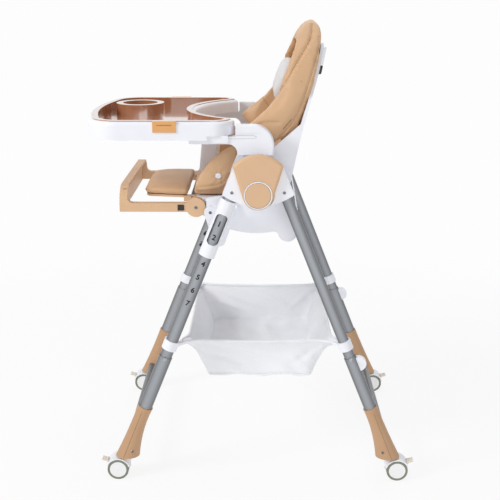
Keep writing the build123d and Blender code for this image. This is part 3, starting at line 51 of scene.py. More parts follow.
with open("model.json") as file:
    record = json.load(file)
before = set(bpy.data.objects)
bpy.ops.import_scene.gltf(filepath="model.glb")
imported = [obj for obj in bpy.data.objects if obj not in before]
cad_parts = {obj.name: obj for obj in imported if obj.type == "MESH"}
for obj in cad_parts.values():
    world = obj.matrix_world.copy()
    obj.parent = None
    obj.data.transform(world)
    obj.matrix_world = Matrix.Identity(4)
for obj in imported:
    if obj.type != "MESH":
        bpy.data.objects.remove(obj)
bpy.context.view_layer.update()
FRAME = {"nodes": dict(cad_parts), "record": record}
JOINTS = {joint["name"]: joint for joint in FRAME["record"]["behaviour"]["joints"]}
HUB_Y = JOINTS["fold"]["pos_m"][1]
MM = 0.001
SIDES = (("left", 1), ("right", -1))
ENDS = (("front", -1), ("rear", 1))
LEAN = radians(21.8)
HUB_Z = 0.694
HUB_OFFSET = 0.0575
LEG_X = 0.250
FAR_OUT = 400  # millimetres from the middle at which rays towards the chair start


def linear(*shade):
    """Scene-linear colour of an 8-bit display colour."""
    return tuple((c / 255 / 12.92) if c < 11 else ((c / 255 + 0.055) / 1.055) ** 2.4 for c in shade)


def at(x, y, z):
    """Model place of a point in millimetres measured from the hub's axis."""
    return Vector((x * MM, HUB_Y + y * MM, z * MM))


def leg_point(sx, sy, z):
    """Point on a leg's axis at a height in metres."""
    return Vector((sx * LEG_X, HUB_Y + sy * (HUB_OFFSET + (HUB_Z - z) * sin(LEAN) / cos(LEAN)), z))


def darker(shade, share):
    """A shade scaled down."""
    return tuple(c * share for c in shade)


def colour(name, about, *shade):
    """A colour property with a display colour as its default."""
    return bpy.props.FloatVectorProperty(
        name=name, description=about, subtype="COLOR", size=3, min=0, max=1, default=linear(*shade)
    )


def length(name, about, default):
    """A length property in metres."""
    return bpy.props.FloatProperty(name=name, description=about, default=default, min=0, unit="LENGTH")


class FinishSettings(bpy.types.PropertyGroup):
    """Colours of the chair's plastics, metals and cloths."""

    white: colour("White plastic", "Housings, seat, tray and arms", 240, 241, 247)
    tan: colour("Tan plastic", "Hub covers and footrest", 217, 178, 140)
    boot: colour("Boot plastic", "Boots at the legs' ends", 188, 149, 113)
    caramel: colour("Tray insert", "Loose tray insert", 168, 112, 78)
    clip: colour("Tray clips", "Clips that hold the insert", 225, 165, 100)
    black: colour("Black plastic", "Latches and lever", 16, 16, 17)
    tube: colour("Leg tubes", "Painted leg tubes", 152, 155, 159)
    leather: colour("Leatherette", "Cover of the seat and back pads", 212, 172, 132)
    cushion: colour("Head cushion", "Cover of the loose head cushion", 224, 223, 223)
    cloth: colour("Basket cloth", "Basket panels and bindings", 239, 240, 243)
    disc: colour("Wheel discs", "Caster wheel discs", 238, 237, 237)
    tyre: colour("Tyres", "Soft treads of the casters", 125, 130, 115)
    pedal: colour("Brake pedals", "Caster brake pedals", 226, 218, 204)
    steel: colour("Steel", "Screws, pins and rings", 176, 178, 181)
    floor: colour("Floor", "Plain pale floor and backdrop", 253, 253, 253)


class PadSettings(bpy.types.PropertyGroup):
    """Sizes of the pads' cloth and seams."""

    voxel: length("Weave step", "Size of the cloth's faces before it is divided", 0.005)
    swell: bpy.props.FloatProperty(name="Pressure", description="Pressure of the filling", default=4.0, min=0)
    stitch: length("Stitch", "Length of one stitch", 0.0026)
    stitch_gap: length("Stitch gap", "Gap from stitch to stitch", 0.0014)
    thread: length("Thread", "Thickness of the sewing thread", 0.0006)
    piping: length("Piping", "Radius of the piped edges", 0.0016)


class TrimSettings(bpy.types.PropertyGroup):
    """Sizes of the fasteners and the printed numbers."""

    screw: length("Screw head", "Radius of a screw head", 0.0036)
    digit: length("Number height", "Height of the printed numbers", 0.0125)
    snap: length("Snap", "Radius of the snap fastener on the seat pad", 0.0074)


class ChairSettings(bpy.types.PropertyGroup):
    """All settings of the chair."""

    finish: bpy.props.PointerProperty(type=FinishSettings, name="Finish", description="Colours")
    pads: bpy.props.PointerProperty(type=PadSettings, name="Pads", description="Pads and seams")
    trim: bpy.props.PointerProperty(type=TrimSettings, name="Trim", description="Fasteners and numbers")


def settings():
    """The scene's chair settings."""
    return bpy.context.scene.high_chair


class Finish:
    """A procedural material under construction, on the piece's Object coordinates."""

    def __init__(self, name, shade, roughness, metallic=0.0):
        self.material = bpy.data.materials.new(name)
        self.material.use_nodes = True
        self.tree = self.material.node_tree
        self.surface = self.tree.nodes["Principled BSDF"]
        self.surface.inputs["Base Color"].default_value = (*shade, 1)
        self.surface.inputs["Roughness"].default_value = roughness
        self.surface.inputs["Metallic"].default_value = metallic
        self.shade = shade
        self.place = self.node("ShaderNodeTexCoord").outputs["Object"]
        self.height = None

    def node(self, kind, **values):
        """Adds a node and sets its inputs or properties by name."""
        made = self.tree.nodes.new(kind)
        for key, value in values.items():
            label = key.replace("_", " ").title()
            if label in made.inputs:
                made.inputs[label].default_value = value
            else:
                setattr(made, key, value)
        return made

    def link(self, start, end):
        """Joins two sockets."""
        self.tree.links.new(start, end)

    def noise(self, scale, detail=3.0, roughness=0.5):
        """Noise on the piece's own place."""
        made = self.node("ShaderNodeTexNoise", scale=scale, detail=detail, roughness=roughness)
        self.link(self.place, made.inputs["Vector"])
        return made.outputs["Fac"]

    def cells(self, scale, feature="F1"):
        """Cell pattern on the piece's own place."""
        made = self.node("ShaderNodeTexVoronoi", scale=scale)
        made.feature = feature
        self.link(self.place, made.inputs["Vector"])
        return made.outputs["Distance"]

    def spread(self, fac, low, high, share_low=0.3, share_high=0.7):
        """Colour between two tints of the shade, driven by a pattern."""
        ramp = self.node("ShaderNodeValToRGB")
        ramp.color_ramp.elements[0].position = share_low
        ramp.color_ramp.elements[1].position = share_high
        for stop, gain in zip(ramp.color_ramp.elements, (low, high)):
            stop.color = (*(min(1, c * gain) for c in self.shade), 1)
        self.link(fac, ramp.inputs["Fac"])
        self.link(ramp.outputs["Color"], self.surface.inputs["Base Color"])
        return self

    def gloss(self, fac, low, high):
        """Roughness between two values, driven by a pattern."""
        span = self.node("ShaderNodeMapRange")
        span.inputs["To Min"].default_value = low
        span.inputs["To Max"].default_value = high
        self.link(fac, span.inputs["Value"])
        self.link(span.outputs["Result"], self.surface.inputs["Roughness"])
        return self

    def relief(self, fac, depth, strength=1.0):
        """Bump of a depth in metres, over any bump added before."""
        bump = self.node("ShaderNodeBump", strength=strength, distance=depth)
        self.link(fac, bump.inputs["Height"])
        if self.height:
            self.link(self.height, bump.inputs["Normal"])
        self.height = bump.outputs["Normal"]
        self.link(self.height, self.surface.inputs["Normal"])
        return self


def plastic(name, shade, roughness, grain=0.00003):
    """Moulded plastic: fine spark-eroded grain, slow tint and gloss drift."""
    made = Finish(name, shade, roughness)
    drift = made.noise(14, 2)
    made.spread(drift, 0.97, 1.02).gloss(made.noise(60, 3), roughness - 0.05, roughness + 0.06)
    made.relief(made.noise(1900, 2), grain)
    return made.material


def lacquer(name, shade):
    """Moulded plastic under a clear deep gloss."""
    made = Finish(name, shade, 0.14)
    made.spread(made.noise(14, 2), 0.97, 1.02).relief(made.noise(30, 2), 0.0002, 0.2)
    made.surface.inputs["IOR"].default_value = 1.7
    made.surface.inputs["Coat Weight"].default_value = 1.0
    made.surface.inputs["Coat IOR"].default_value = 2.2
    made.surface.inputs["Coat Roughness"].default_value = 0.06
    return made.material


def leatherette(name, shade):
    """Soft coated cloth: pebbled grain with pores, slow colour drift and a low sheen."""
    made = Finish(name, shade, 0.52)
    made.spread(made.noise(9, 4, 0.6), 0.93, 1.05)
    made.gloss(made.noise(420, 2), 0.44, 0.62)
    made.relief(made.cells(620), 0.00016, 0.55)
    made.relief(made.noise(1500, 2), 0.00006, 0.5)
    made.relief(made.noise(38, 3), 0.0008, 0.35)
    made.surface.inputs["Sheen Weight"].default_value = 0.08
    made.surface.inputs["Sheen Roughness"].default_value = 0.4
    return made.material


def plain_cloth(name, shade, pitch=900):
    """Tightly woven cloth: crossed threads and slow soiling."""
    made = Finish(name, shade, 0.85)
    made.spread(made.noise(24, 3), 0.96, 1.01)
    for turn in ("X", "Y", "Z"):
        rib = made.node("ShaderNodeTexWave", scale=pitch / 6.28, distortion=0.6)
        rib.bands_direction = turn
        made.link(made.place, rib.inputs["Vector"])
        made.relief(rib.outputs["Fac"], 0.00008, 0.5)
    made.surface.inputs["Sheen Weight"].default_value = 0.15
    return made.material


def net_cloth(name, shade):
    """Knitted net: rows of small round eyes that look a little darker."""
    made = Finish(name, shade, 0.8)
    eyes = made.cells(420)
    made.spread(eyes, 0.9, 1.0, 0.12, 0.36)
    made.relief(eyes, 0.0003, 0.5)
    made.relief(made.noise(30, 3), 0.0006, 0.4)
    return made.material


def brushed(name, shade, roughness):
    """Bare metal with fine drawing marks."""
    made = Finish(name, shade, roughness, 1.0)
    turn = made.node("ShaderNodeMapping")
    turn.inputs["Scale"].default_value = (2.0, 2.0, 2.0)
    made.link(made.place, turn.inputs["Vector"])
    made.place = turn.outputs["Vector"]
    marks = made.noise(40, 3)
    made.spread(marks, 0.985, 1.01).gloss(marks, roughness - 0.06, roughness + 0.06)
    made.relief(marks, 0.00002, 0.5)
    return made.material


def tube_coat_with_edge_shade(name, shade, roughness):
    """Painted tube: fine drawing marks, and painted shade that lightens the colour where the tube faces the
    eye and darkens it towards the tube's edges.
    """
    made = Finish(name, shade, roughness)
    # Painted shade: the facing angle to the camera lightens the middle of the tube and darkens its edges, in
    # place of the tube's round shading
    lean = made.node("ShaderNodeLayerWeight", blend=0.5)
    made.spread(lean.outputs["Facing"], 1.16, 0.42, 0.02, 0.5)
    marks = made.noise(240, 3)
    made.gloss(marks, roughness - 0.06, roughness + 0.06).relief(marks, 0.00002, 0.5)
    return made.material


def rubber(name, shade):
    """Soft tread: matt, with fine moulding grain."""
    made = Finish(name, shade, 0.78)
    made.spread(made.noise(50, 3), 0.9, 1.06).relief(made.noise(1200, 2), 0.00008, 0.6)
    return made.material


MATERIALS = {}


def finish(name):
    """A shared material by name, made once from the colour settings."""
    if name not in MATERIALS:
        tint = settings().finish
        makers = {
            "white_plastic": (plastic, tint.white, 0.34),
            "tan_plastic": (plastic, tint.tan, 0.46),
            "boot_plastic": (plastic, tint.boot, 0.5),
            "caramel_plastic": (lacquer, tint.caramel),
            "clip_plastic": (plastic, tint.clip, 0.3),
            "black_plastic": (plastic, tint.black, 0.38),
            # Grey tube paint with painted shade towards the tubes' edges
            "tube_paint": (tube_coat_with_edge_shade, tint.tube, 0.32),
            "steel": (brushed, tint.steel, 0.3),
            "steel_dark": (brushed, darker(tint.steel, 0.55), 0.36),
            "tan_pad": (leatherette, tint.leather),
            "grey_pad": (leatherette, tint.cushion),
            "binding": (plain_cloth, tint.cloth),
            "basket_cloth": (plain_cloth, tint.cloth, 700),
            "basket_net": (net_cloth, tint.cloth),
            "wheel_disc": (plastic, tint.disc, 0.36),
            "tyre": (rubber, tint.tyre),
            "pedal": (plastic, tint.pedal, 0.42),
            "thread": (plain_cloth, darker(tint.leather, 0.5), 2500),
            # Near-black cord: painted shade inside the slits of the back pad's cover
            "slit": (plain_cloth, darker(tint.leather, 0.22), 2500),
            "clip_shade": (plastic, darker(tint.clip, 0.5), 0.5),
            "boot_line": (plastic, darker(tint.boot, 0.4), 0.6),
            "shade_line": (plastic, darker(tint.white, 0.62), 0.5),
            "print": (plastic, tint.black, 0.6),
        }
        make, *values = makers[name]
        MATERIALS[name] = make(name, *values)
    return MATERIALS[name]


MERGE = 0.00001       # points closer than this are one
SIM_FRAMES = 18       # frames in which the pads' filling swells
CREASE_REACH = 0.016  # how far from a seam its crease is felt


def new_object(name, mesh):
    """A new object at the origin for a mesh or curve."""
    made = bpy.data.objects.new(name, mesh)
    bpy.context.scene.collection.objects.link(made)
    return made


def mesh_object(name, points, faces, edges=()):
    """A new mesh object from points and faces."""
    mesh = bpy.data.meshes.new(name)
    mesh.from_pydata([tuple(p) for p in points], list(edges), list(faces))
    mesh.update()
    return new_object(name, mesh)


def shown_mesh(made):
    """A new mesh of an object as its curve or modifiers shape it."""
    return bpy.data.meshes.new_from_object(made.evaluated_get(bpy.context.evaluated_depsgraph_get()))


def settle(made):
    """Replaces an object's mesh by what its modifiers make of it."""
    bpy.context.view_layer.update()
    mesh = shown_mesh(made)
    made.modifiers.clear()
    old, made.data = made.data, mesh
    bpy.data.meshes.remove(old)
    mesh.name = made.name
    return made


def read_points(mesh):
    """A mesh's vertices as an array."""
    flat = np.empty(len(mesh.vertices) * 3)
    mesh.vertices.foreach_get("co", flat)
    return flat.reshape(-1, 3)


def read_normals(mesh):
    """A mesh's vertex normals as an array."""
    flat = np.empty(len(mesh.vertices) * 3)
    mesh.vertex_normals.foreach_get("vector", flat)
    return flat.reshape(-1, 3)


def write_points(mesh, points):
    """Sets a mesh's vertices from an array."""
    mesh.vertices.foreach_set("co", np.ascontiguousarray(points).ravel())
    mesh.update()


def relax(mesh, points, rounds):
    """Rounds a mesh off by moving each vertex towards its neighbours' middle."""
    ends = np.empty(len(mesh.edges) * 2, int)
    mesh.edges.foreach_get("vertices", ends)
    ends = ends.reshape(-1, 2)
    count = np.bincount(ends.ravel(), minlength=len(points))[:, None]
    for _ in range(rounds):
        total = np.zeros_like(points)
        np.add.at(total, ends[:, 0], points[ends[:, 1]])
        np.add.at(total, ends[:, 1], points[ends[:, 0]])
        points = points + 0.5 * (total / count - points)
    return points


def smooth_faces(mesh):
    """Shades every face smooth."""
    mesh.polygons.foreach_set("use_smooth", np.ones(len(mesh.polygons), bool))


def paint(made, *names):
    """Gives an object its finishes."""
    made.data.materials.clear()
    for name in names:
        made.data.materials.append(finish(name))
    return made


def soft_form(name, node, shrink, rounding, cap, held):
    """Pad blown up by cloth simulation from a copy of its CAD solid; held(points) gives the pins' weights."""
    pads = settings().pads
    solid = bmesh.new()
    solid.from_mesh(FRAME["nodes"][node].data)
    bmesh.ops.remove_doubles(solid, verts=solid.verts, dist=MERGE)
    mesh = bpy.data.meshes.new(name)
    solid.to_mesh(mesh)
    solid.free()
    pad = new_object(name, mesh)
    weave = pad.modifiers.new("weave", "REMESH")
    weave.mode = "VOXEL"
    weave.voxel_size = pads.voxel
    settle(pad)
    points = relax(pad.data, read_points(pad.data), rounding)
    write_points(pad.data, points)
    points = points - shrink * read_normals(pad.data)
    write_points(pad.data, points)
    group = pad.vertex_groups.new(name="held")
    for index, weight in enumerate(held(points)):
        if weight > 0:
            group.add([index], float(weight), "REPLACE")
    cloth = pad.modifiers.new("filling", "CLOTH")
    cloth.settings.quality = 5
    cloth.settings.mass = 0.2
    cloth.settings.tension_stiffness = cloth.settings.compression_stiffness = 10
    cloth.settings.bending_stiffness = 0.3
    cloth.settings.use_pressure = True
    cloth.settings.uniform_pressure_force = pads.swell
    cloth.settings.vertex_group_mass = "held"
    cloth.settings.effector_weights.gravity = 0
    cloth.collision_settings.use_collision = False
    for step in range(1, SIM_FRAMES + 1):
        bpy.context.scene.frame_set(step)
    shown = pad.evaluated_get(bpy.context.evaluated_depsgraph_get())
    move = read_points(shown.data) - points
    reach = np.linalg.norm(move, axis=1, keepdims=True)
    points = points + move * np.minimum(1, cap / np.maximum(reach, MERGE))
    bpy.context.scene.frame_set(1)
    pad.modifiers.clear()
    pad.vertex_groups.clear()
    write_points(pad.data, relax(pad.data, points, 1))
    finer = pad.modifiers.new("finer", "SUBSURF")
    finer.levels = finer.render_levels = 1
    settle(pad)
    smooth_faces(pad.data)
    return pad


def surface_tree(made):
    """Search tree of an object's surface."""
    return BVHTree.FromObject(made, bpy.context.evaluated_depsgraph_get())


def dense(path, step=0.0015):
    """Points along a smooth line through a path's points, at an even step."""
    line = [np.array(p, float) for p in path]
    line = [2 * line[0] - line[1], *line, 2 * line[-1] - line[-2]]
    made = []
    for a, b, c, d in zip(line, line[1:], line[2:], line[3:]):
        count = max(2, int(np.linalg.norm(c - b) / step))
        for t in np.arange(count) / count:
            made.append(0.5 * (2 * b + (c - a) * t + (2 * a - 5 * b + 4 * c - d) * t * t
                               + (3 * b - a - 3 * c + d) * t ** 3))
    made.append(line[-2])
    return made


def from_side(tree, sx, y, z):
    """Where a line from far out on one side first meets a surface, and the surface's normal."""
    return tree.ray_cast(at(sx * FAR_OUT, y, z), Vector((-sx, 0, 0)))[:2]


def side_seam(tree, sx, path, inside=None):
    """Line on a pad's outer or inner side that looks like a path of (Y, Z) millimetres from the side."""
    found = []
    for y, z in dense(path, 1.5):
        start = at(sx * (inside or FAR_OUT), y, z)
        hit = tree.ray_cast(start, Vector((sx if inside else -sx, 0, 0)))[0]
        if hit:
            found.append(hit)
    return found


def rim_seam(tree, middle, across, up, count=160):
    """Closed line where rays in a plane, from outside towards the middle, first meet a pad."""
    found = []
    for k in range(count):
        turn = 2 * pi * k / count
        way = across * cos(turn) + up * sin(turn)
        hit = tree.ray_cast(middle + way, -way)[0]
        if hit:
            found.append(hit)
    return [*found, found[0]]


def path_runs(path):
    """Distance along a path at each of its points."""
    steps = np.linalg.norm(np.diff(np.array(path, float), axis=0), axis=1)
    return np.concatenate(([0], np.cumsum(steps)))


def nearest(points, seam, reach=CREASE_REACH):
    """Distance from each point to a seam, and the place along the seam, within a reach."""
    line = KDTree(len(seam))
    for index, place in enumerate(seam):
        line.insert(place, index)
    line.balance()
    gap = np.full(len(points), np.inf)
    along = np.zeros(len(points))
    runs = path_runs(seam)
    low = np.min(seam, axis=0) - reach
    high = np.max(seam, axis=0) + reach
    for index in np.flatnonzero(np.all((points > low) & (points < high), axis=1)):
        _, nth, far = line.find(points[index])
        if far < reach:
            gap[index], along[index] = far, runs[nth]
    return gap, along


def crease(pad, seam, depth, width, pucker=0.0, pitch=0.007):
    """Sinks a sewn line into a pad, with puckers that run out from it."""
    points = read_points(pad.data)
    gap, along = nearest(points, seam)
    sink = depth * np.exp(-((gap / width) ** 2))
    gather = pucker * np.sin(2 * pi * along / pitch) * np.exp(-gap / (2.2 * width))
    gather[~np.isfinite(gap)] = 0
    write_points(pad.data, points - (sink + gather)[:, None] * read_normals(pad.data))


def rumple(pad, size, height, seed):
    """Slow uneven swells over a pad's whole cover."""
    points = read_points(pad.data)
    shift = Vector((seed, 0.7 * seed, 1.3 * seed))
    lift = np.array([noise.noise(Vector(p) / size + shift) for p in points])
    write_points(pad.data, points + height * lift[:, None] * read_normals(pad.data))


def tube_along(name, path, radius, sides=8):
    """Round cord along a path of points, as a mesh; a path whose ends meet is closed."""
    curve = bpy.data.curves.new(name, "CURVE")
    curve.dimensions = "3D"
    curve.bevel_depth = radius
    curve.bevel_resolution = sides // 4
    curve.use_fill_caps = True
    closed = (Vector(path[0]) - Vector(path[-1])).length < 2 * radius
    used = path[:-1] if closed else path
    spline = curve.splines.new("POLY")
    spline.points.add(len(used) - 1)
    for point, place in zip(spline.points, used):
        point.co = (*place, 1)
    spline.use_cyclic_u = closed
    drawn = new_object(name + "_line", curve)
    bpy.context.view_layer.update()
    mesh = shown_mesh(drawn)
    bpy.data.objects.remove(drawn)
    bpy.data.curves.remove(curve)
    made = new_object(name, mesh)
    mesh.name = name
    smooth_faces(mesh)
    return made


def join(name, parts):
    """One mesh object of several, with their materials kept."""
    whole = bmesh.new()
    shades = []
    for part in parts:
        start = len(whole.faces)
        whole.from_mesh(part.data)
        whole.faces.ensure_lookup_table()
        places = [shades.index(m) if m in shades else shades.append(m) or len(shades) - 1
                  for m in part.data.materials]
        for face in whole.faces[start:]:
            face.material_index = places[face.material_index] if places else 0
    mesh = bpy.data.meshes.new(name)
    whole.to_mesh(mesh)
    whole.free()
    for shade in shades:
        mesh.materials.append(shade)
    for part in parts:
        old = part.data
        bpy.data.objects.remove(part)
        bpy.data.meshes.remove(old)
    return new_object(name, mesh)


def node_tree(name, sizes):
    """A Geometry Nodes tree with a geometry input, named lengths, a material and a geometry output."""
    tree = bpy.data.node_groups.new(name, "GeometryNodeTree")
    tree.interface.new_socket("Geometry", in_out="INPUT", socket_type="NodeSocketGeometry")
    for label, value in sizes.items():
        socket = tree.interface.new_socket(label, in_out="INPUT", socket_type="NodeSocketFloat")
        socket.default_value = value
    tree.interface.new_socket("Material", in_out="INPUT", socket_type="NodeSocketMaterial")
    tree.interface.new_socket("Geometry", in_out="OUTPUT", socket_type="NodeSocketGeometry")
    return tree, tree.nodes.new("NodeGroupInput"), tree.nodes.new("NodeGroupOutput")


def run_tree(made, tree, values):
    """Puts a tree on an object with values by input name, and keeps the result as a plain mesh."""
    modifier = made.modifiers.new(tree.name, "NODES")
    modifier.node_group = tree
    for item in tree.interface.items_tree:
        if item.in_out == "INPUT" and item.name in values:
            modifier[item.identifier] = values[item.name]
    settle(made)
    smooth_faces(made.data)
    return made


def wire(tree, *pairs):
    """Joins the sockets of a tree two by two."""
    for start, end in pairs:
        tree.links.new(start, end)


def product(tree, start, factor):
    """Socket that gives another one times a number or a third one."""
    made = tree.nodes.new("ShaderNodeMath")
    made.operation = "MULTIPLY"
    tree.links.new(start, made.inputs[0])
    if isinstance(factor, float):
        made.inputs[1].default_value = factor
    else:
        tree.links.new(factor, made.inputs[1])
    return made.outputs[0]


def stitch_tree():
    """Tree that lays one rounded stitch after another along an edge path."""
    tree, given, result = node_tree("stitch_row", {"Stitch": 0.0026, "Gap": 0.0014, "Thread": 0.0006})
    nodes, sizes = tree.nodes, given.outputs
    curve = nodes.new("GeometryNodeMeshToCurve")
    pitch = nodes.new("ShaderNodeMath")
    pitch.operation = "ADD"
    points = nodes.new("GeometryNodeCurveToPoints")
    points.mode = "LENGTH"
    bead = nodes.new("GeometryNodeMeshIcoSphere")
    bead.inputs["Radius"].default_value = 1.0
    bead.inputs["Subdivisions"].default_value = 2
    shape = nodes.new("ShaderNodeCombineXYZ")
    place = nodes.new("GeometryNodeInstanceOnPoints")
    real = nodes.new("GeometryNodeRealizeInstances")
    shade = nodes.new("GeometryNodeSetMaterial")
    wire(
        tree,
        (sizes["Geometry"], curve.inputs[0]),
        (sizes["Stitch"], pitch.inputs[0]),
        (sizes["Gap"], pitch.inputs[1]),
        (curve.outputs[0], points.inputs[0]),
        (pitch.outputs[0], points.inputs["Length"]),
        (sizes["Thread"], shape.inputs[0]),
        (sizes["Thread"], shape.inputs[1]),
        (product(tree, sizes["Stitch"], 0.5), shape.inputs[2]),
        (points.outputs["Points"], place.inputs["Points"]),
        (points.outputs["Rotation"], place.inputs["Rotation"]),
        (bead.outputs[0], place.inputs["Instance"]),
        (shape.outputs[0], place.inputs["Scale"]),
        (place.outputs[0], real.inputs[0]),
        (real.outputs[0], shade.inputs["Geometry"]),
        (sizes["Material"], shade.inputs["Material"]),
        (shade.outputs[0], result.inputs[0]),
    )
    return tree


HEAD_TOP = 0.72    # radius of a fastener's top as a share of its foot's
SOCKET_SLIM = 0.28  # width of a bar of its cross socket as a share of the bar's length
SOCKET_RISE = 0.56  # height of the socket's middle as a share of the head's


def fastener_tree():
    """Tree that sets a domed head with a socket on each point, facing the point's own way."""
    tree, given, result = node_tree("fasteners", {"Radius": 0.0036, "Height": 0.0016, "Socket": 0.5})
    tree.interface.new_socket("Socket Material", in_out="INPUT", socket_type="NodeSocketMaterial")
    nodes, sizes = tree.nodes, given.outputs
    way = nodes.new("GeometryNodeInputNamedAttribute")
    way.data_type = "FLOAT_VECTOR"
    way.inputs["Name"].default_value = "way"
    turn = nodes.new("FunctionNodeAlignRotationToVector")
    turn.axis = "Z"
    head = nodes.new("GeometryNodeMeshCone")
    head.inputs["Vertices"].default_value = 20
    head.inputs["Side Segments"].default_value = 2
    slots = nodes.new("GeometryNodeJoinGeometry")
    whole = nodes.new("GeometryNodeJoinGeometry")
    wide = product(tree, sizes["Radius"], sizes["Socket"])
    slim = product(tree, wide, SOCKET_SLIM)
    for wide_socket, slim_socket in (("X", "Y"), ("Y", "X")):
        size = nodes.new("ShaderNodeCombineXYZ")
        bar = nodes.new("GeometryNodeMeshCube")
        wire(
            tree,
            (wide, size.inputs[wide_socket]),
            (slim, size.inputs[slim_socket]),
            (sizes["Height"], size.inputs["Z"]),
            (size.outputs[0], bar.inputs["Size"]),
            (bar.outputs[0], slots.inputs[0]),
        )
    lift = nodes.new("ShaderNodeCombineXYZ")
    raised = nodes.new("GeometryNodeTransform")
    shade, dark = (nodes.new("GeometryNodeSetMaterial") for _ in range(2))
    place = nodes.new("GeometryNodeInstanceOnPoints")
    real = nodes.new("GeometryNodeRealizeInstances")
    wire(
        tree,
        (product(tree, sizes["Height"], SOCKET_RISE), lift.inputs["Z"]),
        (slots.outputs[0], raised.inputs["Geometry"]),
        (lift.outputs[0], raised.inputs["Translation"]),
        (raised.outputs[0], dark.inputs["Geometry"]),
        (sizes["Socket Material"], dark.inputs["Material"]),
        (sizes["Radius"], head.inputs["Radius Bottom"]),
        (product(tree, sizes["Radius"], HEAD_TOP), head.inputs["Radius Top"]),
        (sizes["Height"], head.inputs["Depth"]),
        (head.outputs["Mesh"], shade.inputs["Geometry"]),
        (sizes["Material"], shade.inputs["Material"]),
        (shade.outputs[0], whole.inputs[0]),
        (dark.outputs[0], whole.inputs[0]),
        (way.outputs["Attribute"], turn.inputs["Vector"]),
        (sizes["Geometry"], place.inputs["Points"]),
        (turn.outputs[0], place.inputs["Rotation"]),
        (whole.outputs[0], place.inputs["Instance"]),
        (place.outputs[0], real.inputs[0]),
        (real.outputs[0], result.inputs[0]),
    )
    return tree


TREES = {}


def shared_tree(name):
    """A Geometry Nodes tree by name, made once."""
    if name not in TREES:
        TREES[name] = {"stitch": stitch_tree, "fastener": fastener_tree}[name]()
    return TREES[name]


def stitches(name, body, paths, shade="thread"):
    """Rows of stitches along paths, as one piece on a body."""
    pads = settings().pads
    points, edges = [], []
    for path in paths:
        edges += [(len(points) + k, len(points) + k + 1) for k in range(len(path) - 1)]
        points += path
    rows = mesh_object(name, points, (), edges)
    run_tree(rows, shared_tree("stitch"), {
        "Stitch": pads.stitch, "Gap": pads.stitch_gap, "Thread": pads.thread, "Material": finish(shade)})
    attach(rows, body)
    return rows


def fasteners(name, body, heads, radius, height, shade="steel", socket="black_plastic", hole=1.1):
    """Screw heads at (place, way it faces), as one piece on a body. The socket's finish colours raised cross
    bars; the default black is painted shade of the screw's recess.
    """
    made = mesh_object(name, [place for place, _ in heads], ())
    ways = made.data.attributes.new("way", "FLOAT_VECTOR", "POINT")
    for value, (_, way) in zip(ways.data, heads):
        value.vector = way
    run_tree(made, shared_tree("fastener"), {
        "Radius": radius, "Height": height, "Socket": hole, "Material": finish(shade),
        "Socket Material": finish(socket)})
    made.data.polygons.foreach_set("use_smooth", np.zeros(len(made.data.polygons), bool))
    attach(made, body)
    return made


def dress(pad, node, body, slot, fill, *shades):
    """Paints a pad, hides the CAD node that it stands for and puts the pad on a body."""
    paint(pad, *shades)
    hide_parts(node)
    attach(pad, body)
    return pad


def piped(name, body, paths, radius, shade):
    """Piping along paths as one piece on a body."""
    cords = [tube_along(f"{name}_{k}", path, radius) for k, path in enumerate(paths)]
    for cord in cords:
        paint(cord, shade)
    made = join(name, cords)
    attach(made, body)
    return made


# Lines on the back pad's sides, as (Y, Z) millimetres from the hub's axis and the floor
BACK_SEAM = (
    (122, 1046), (118, 1019), (102, 992), (83, 962), (62, 928), (47, 903), (30, 880), (8, 857), (-18, 836),
)
BACK_HEM = ((136, 1020), (134, 995), (122, 955), (100, 886), (83, 846), (61, 814), (38, 792), (0, 790))
BACK_LABEL = ((56, 820), (74, 842))
BACK_JOINS = (((60, 958), (76, 936), (96, 925)), ((9, 858), (25, 836), (40, 826)))
BACK_INSIDE = 100  # half width of the hollow from which the wings' inner faces are met
BACK_FOLD = ((-16, 819), (11, 834), (45, 835))


class BackPad(bpy.types.Operator):
    """Build the winged back pad with its gathered side seams"""

    bl_idname = "highchair.back_pad"
    bl_label = "Back pad"

    def execute(self, context):
        low, high = (np.array(c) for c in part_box("back_pad"))

        def held(points):
            rear = points[:, 1] > low[1] + 0.84 * (high[1] - low[1])
            middle = np.abs(points[:, 0]) < 0.11
            return np.where(rear & middle, 1.0, 0.0)

        pad = soft_form("back_cover", "back_pad", shrink=0.0025, rounding=3, cap=0.006, held=held)
        rumple(pad, size=0.06, height=0.0012, seed=3.0)
        tree = surface_tree(pad)
        seams, hems, folds = (
            [side_seam(tree, sx, path) for _, sx in SIDES] for path in (BACK_SEAM, BACK_HEM, BACK_FOLD)
        )
        for seam in seams:
            crease(pad, seam, depth=0.0038, width=0.0042, pucker=0.0013, pitch=0.006)
        for hem in hems:
            crease(pad, hem, depth=0.0022, width=0.0028)
        for fold in folds:
            crease(pad, fold, depth=0.0022, width=0.0035)
        tree = surface_tree(pad)
        dress(pad, "back_pad", "backrest", "tan_pad", 0.8, "tan_pad")
        rows = [side_seam(tree, sx, path) for _, sx in SIDES for path in (BACK_SEAM, BACK_HEM)]
        stitches("back_stitches", "backrest", rows)
        joins = [side_seam(tree, sx, path, BACK_INSIDE) for _, sx in SIDES for path in BACK_JOINS]
        piped("back_joins", "backrest", joins, 0.0006, "thread")
        # The slits at the label are drawn as near-black cords: painted shade inside the cut in the cover
        slits = [side_seam(tree, sx, BACK_LABEL) for _, sx in SIDES]
        piped("back_slits", "backrest", slits, 0.0007, "slit")
        return {"FINISHED"}


WING_HEM = ((-139, 689), (-110, 693), (-84, 698), (-64, 716), (-44, 738), (-46, 765))
WING_SNAP = (-90, 716)
SNAP_REACH = 0.05  # how far the snap gathers the cover
SNAP_RAYS = 7      # folds that run out from it


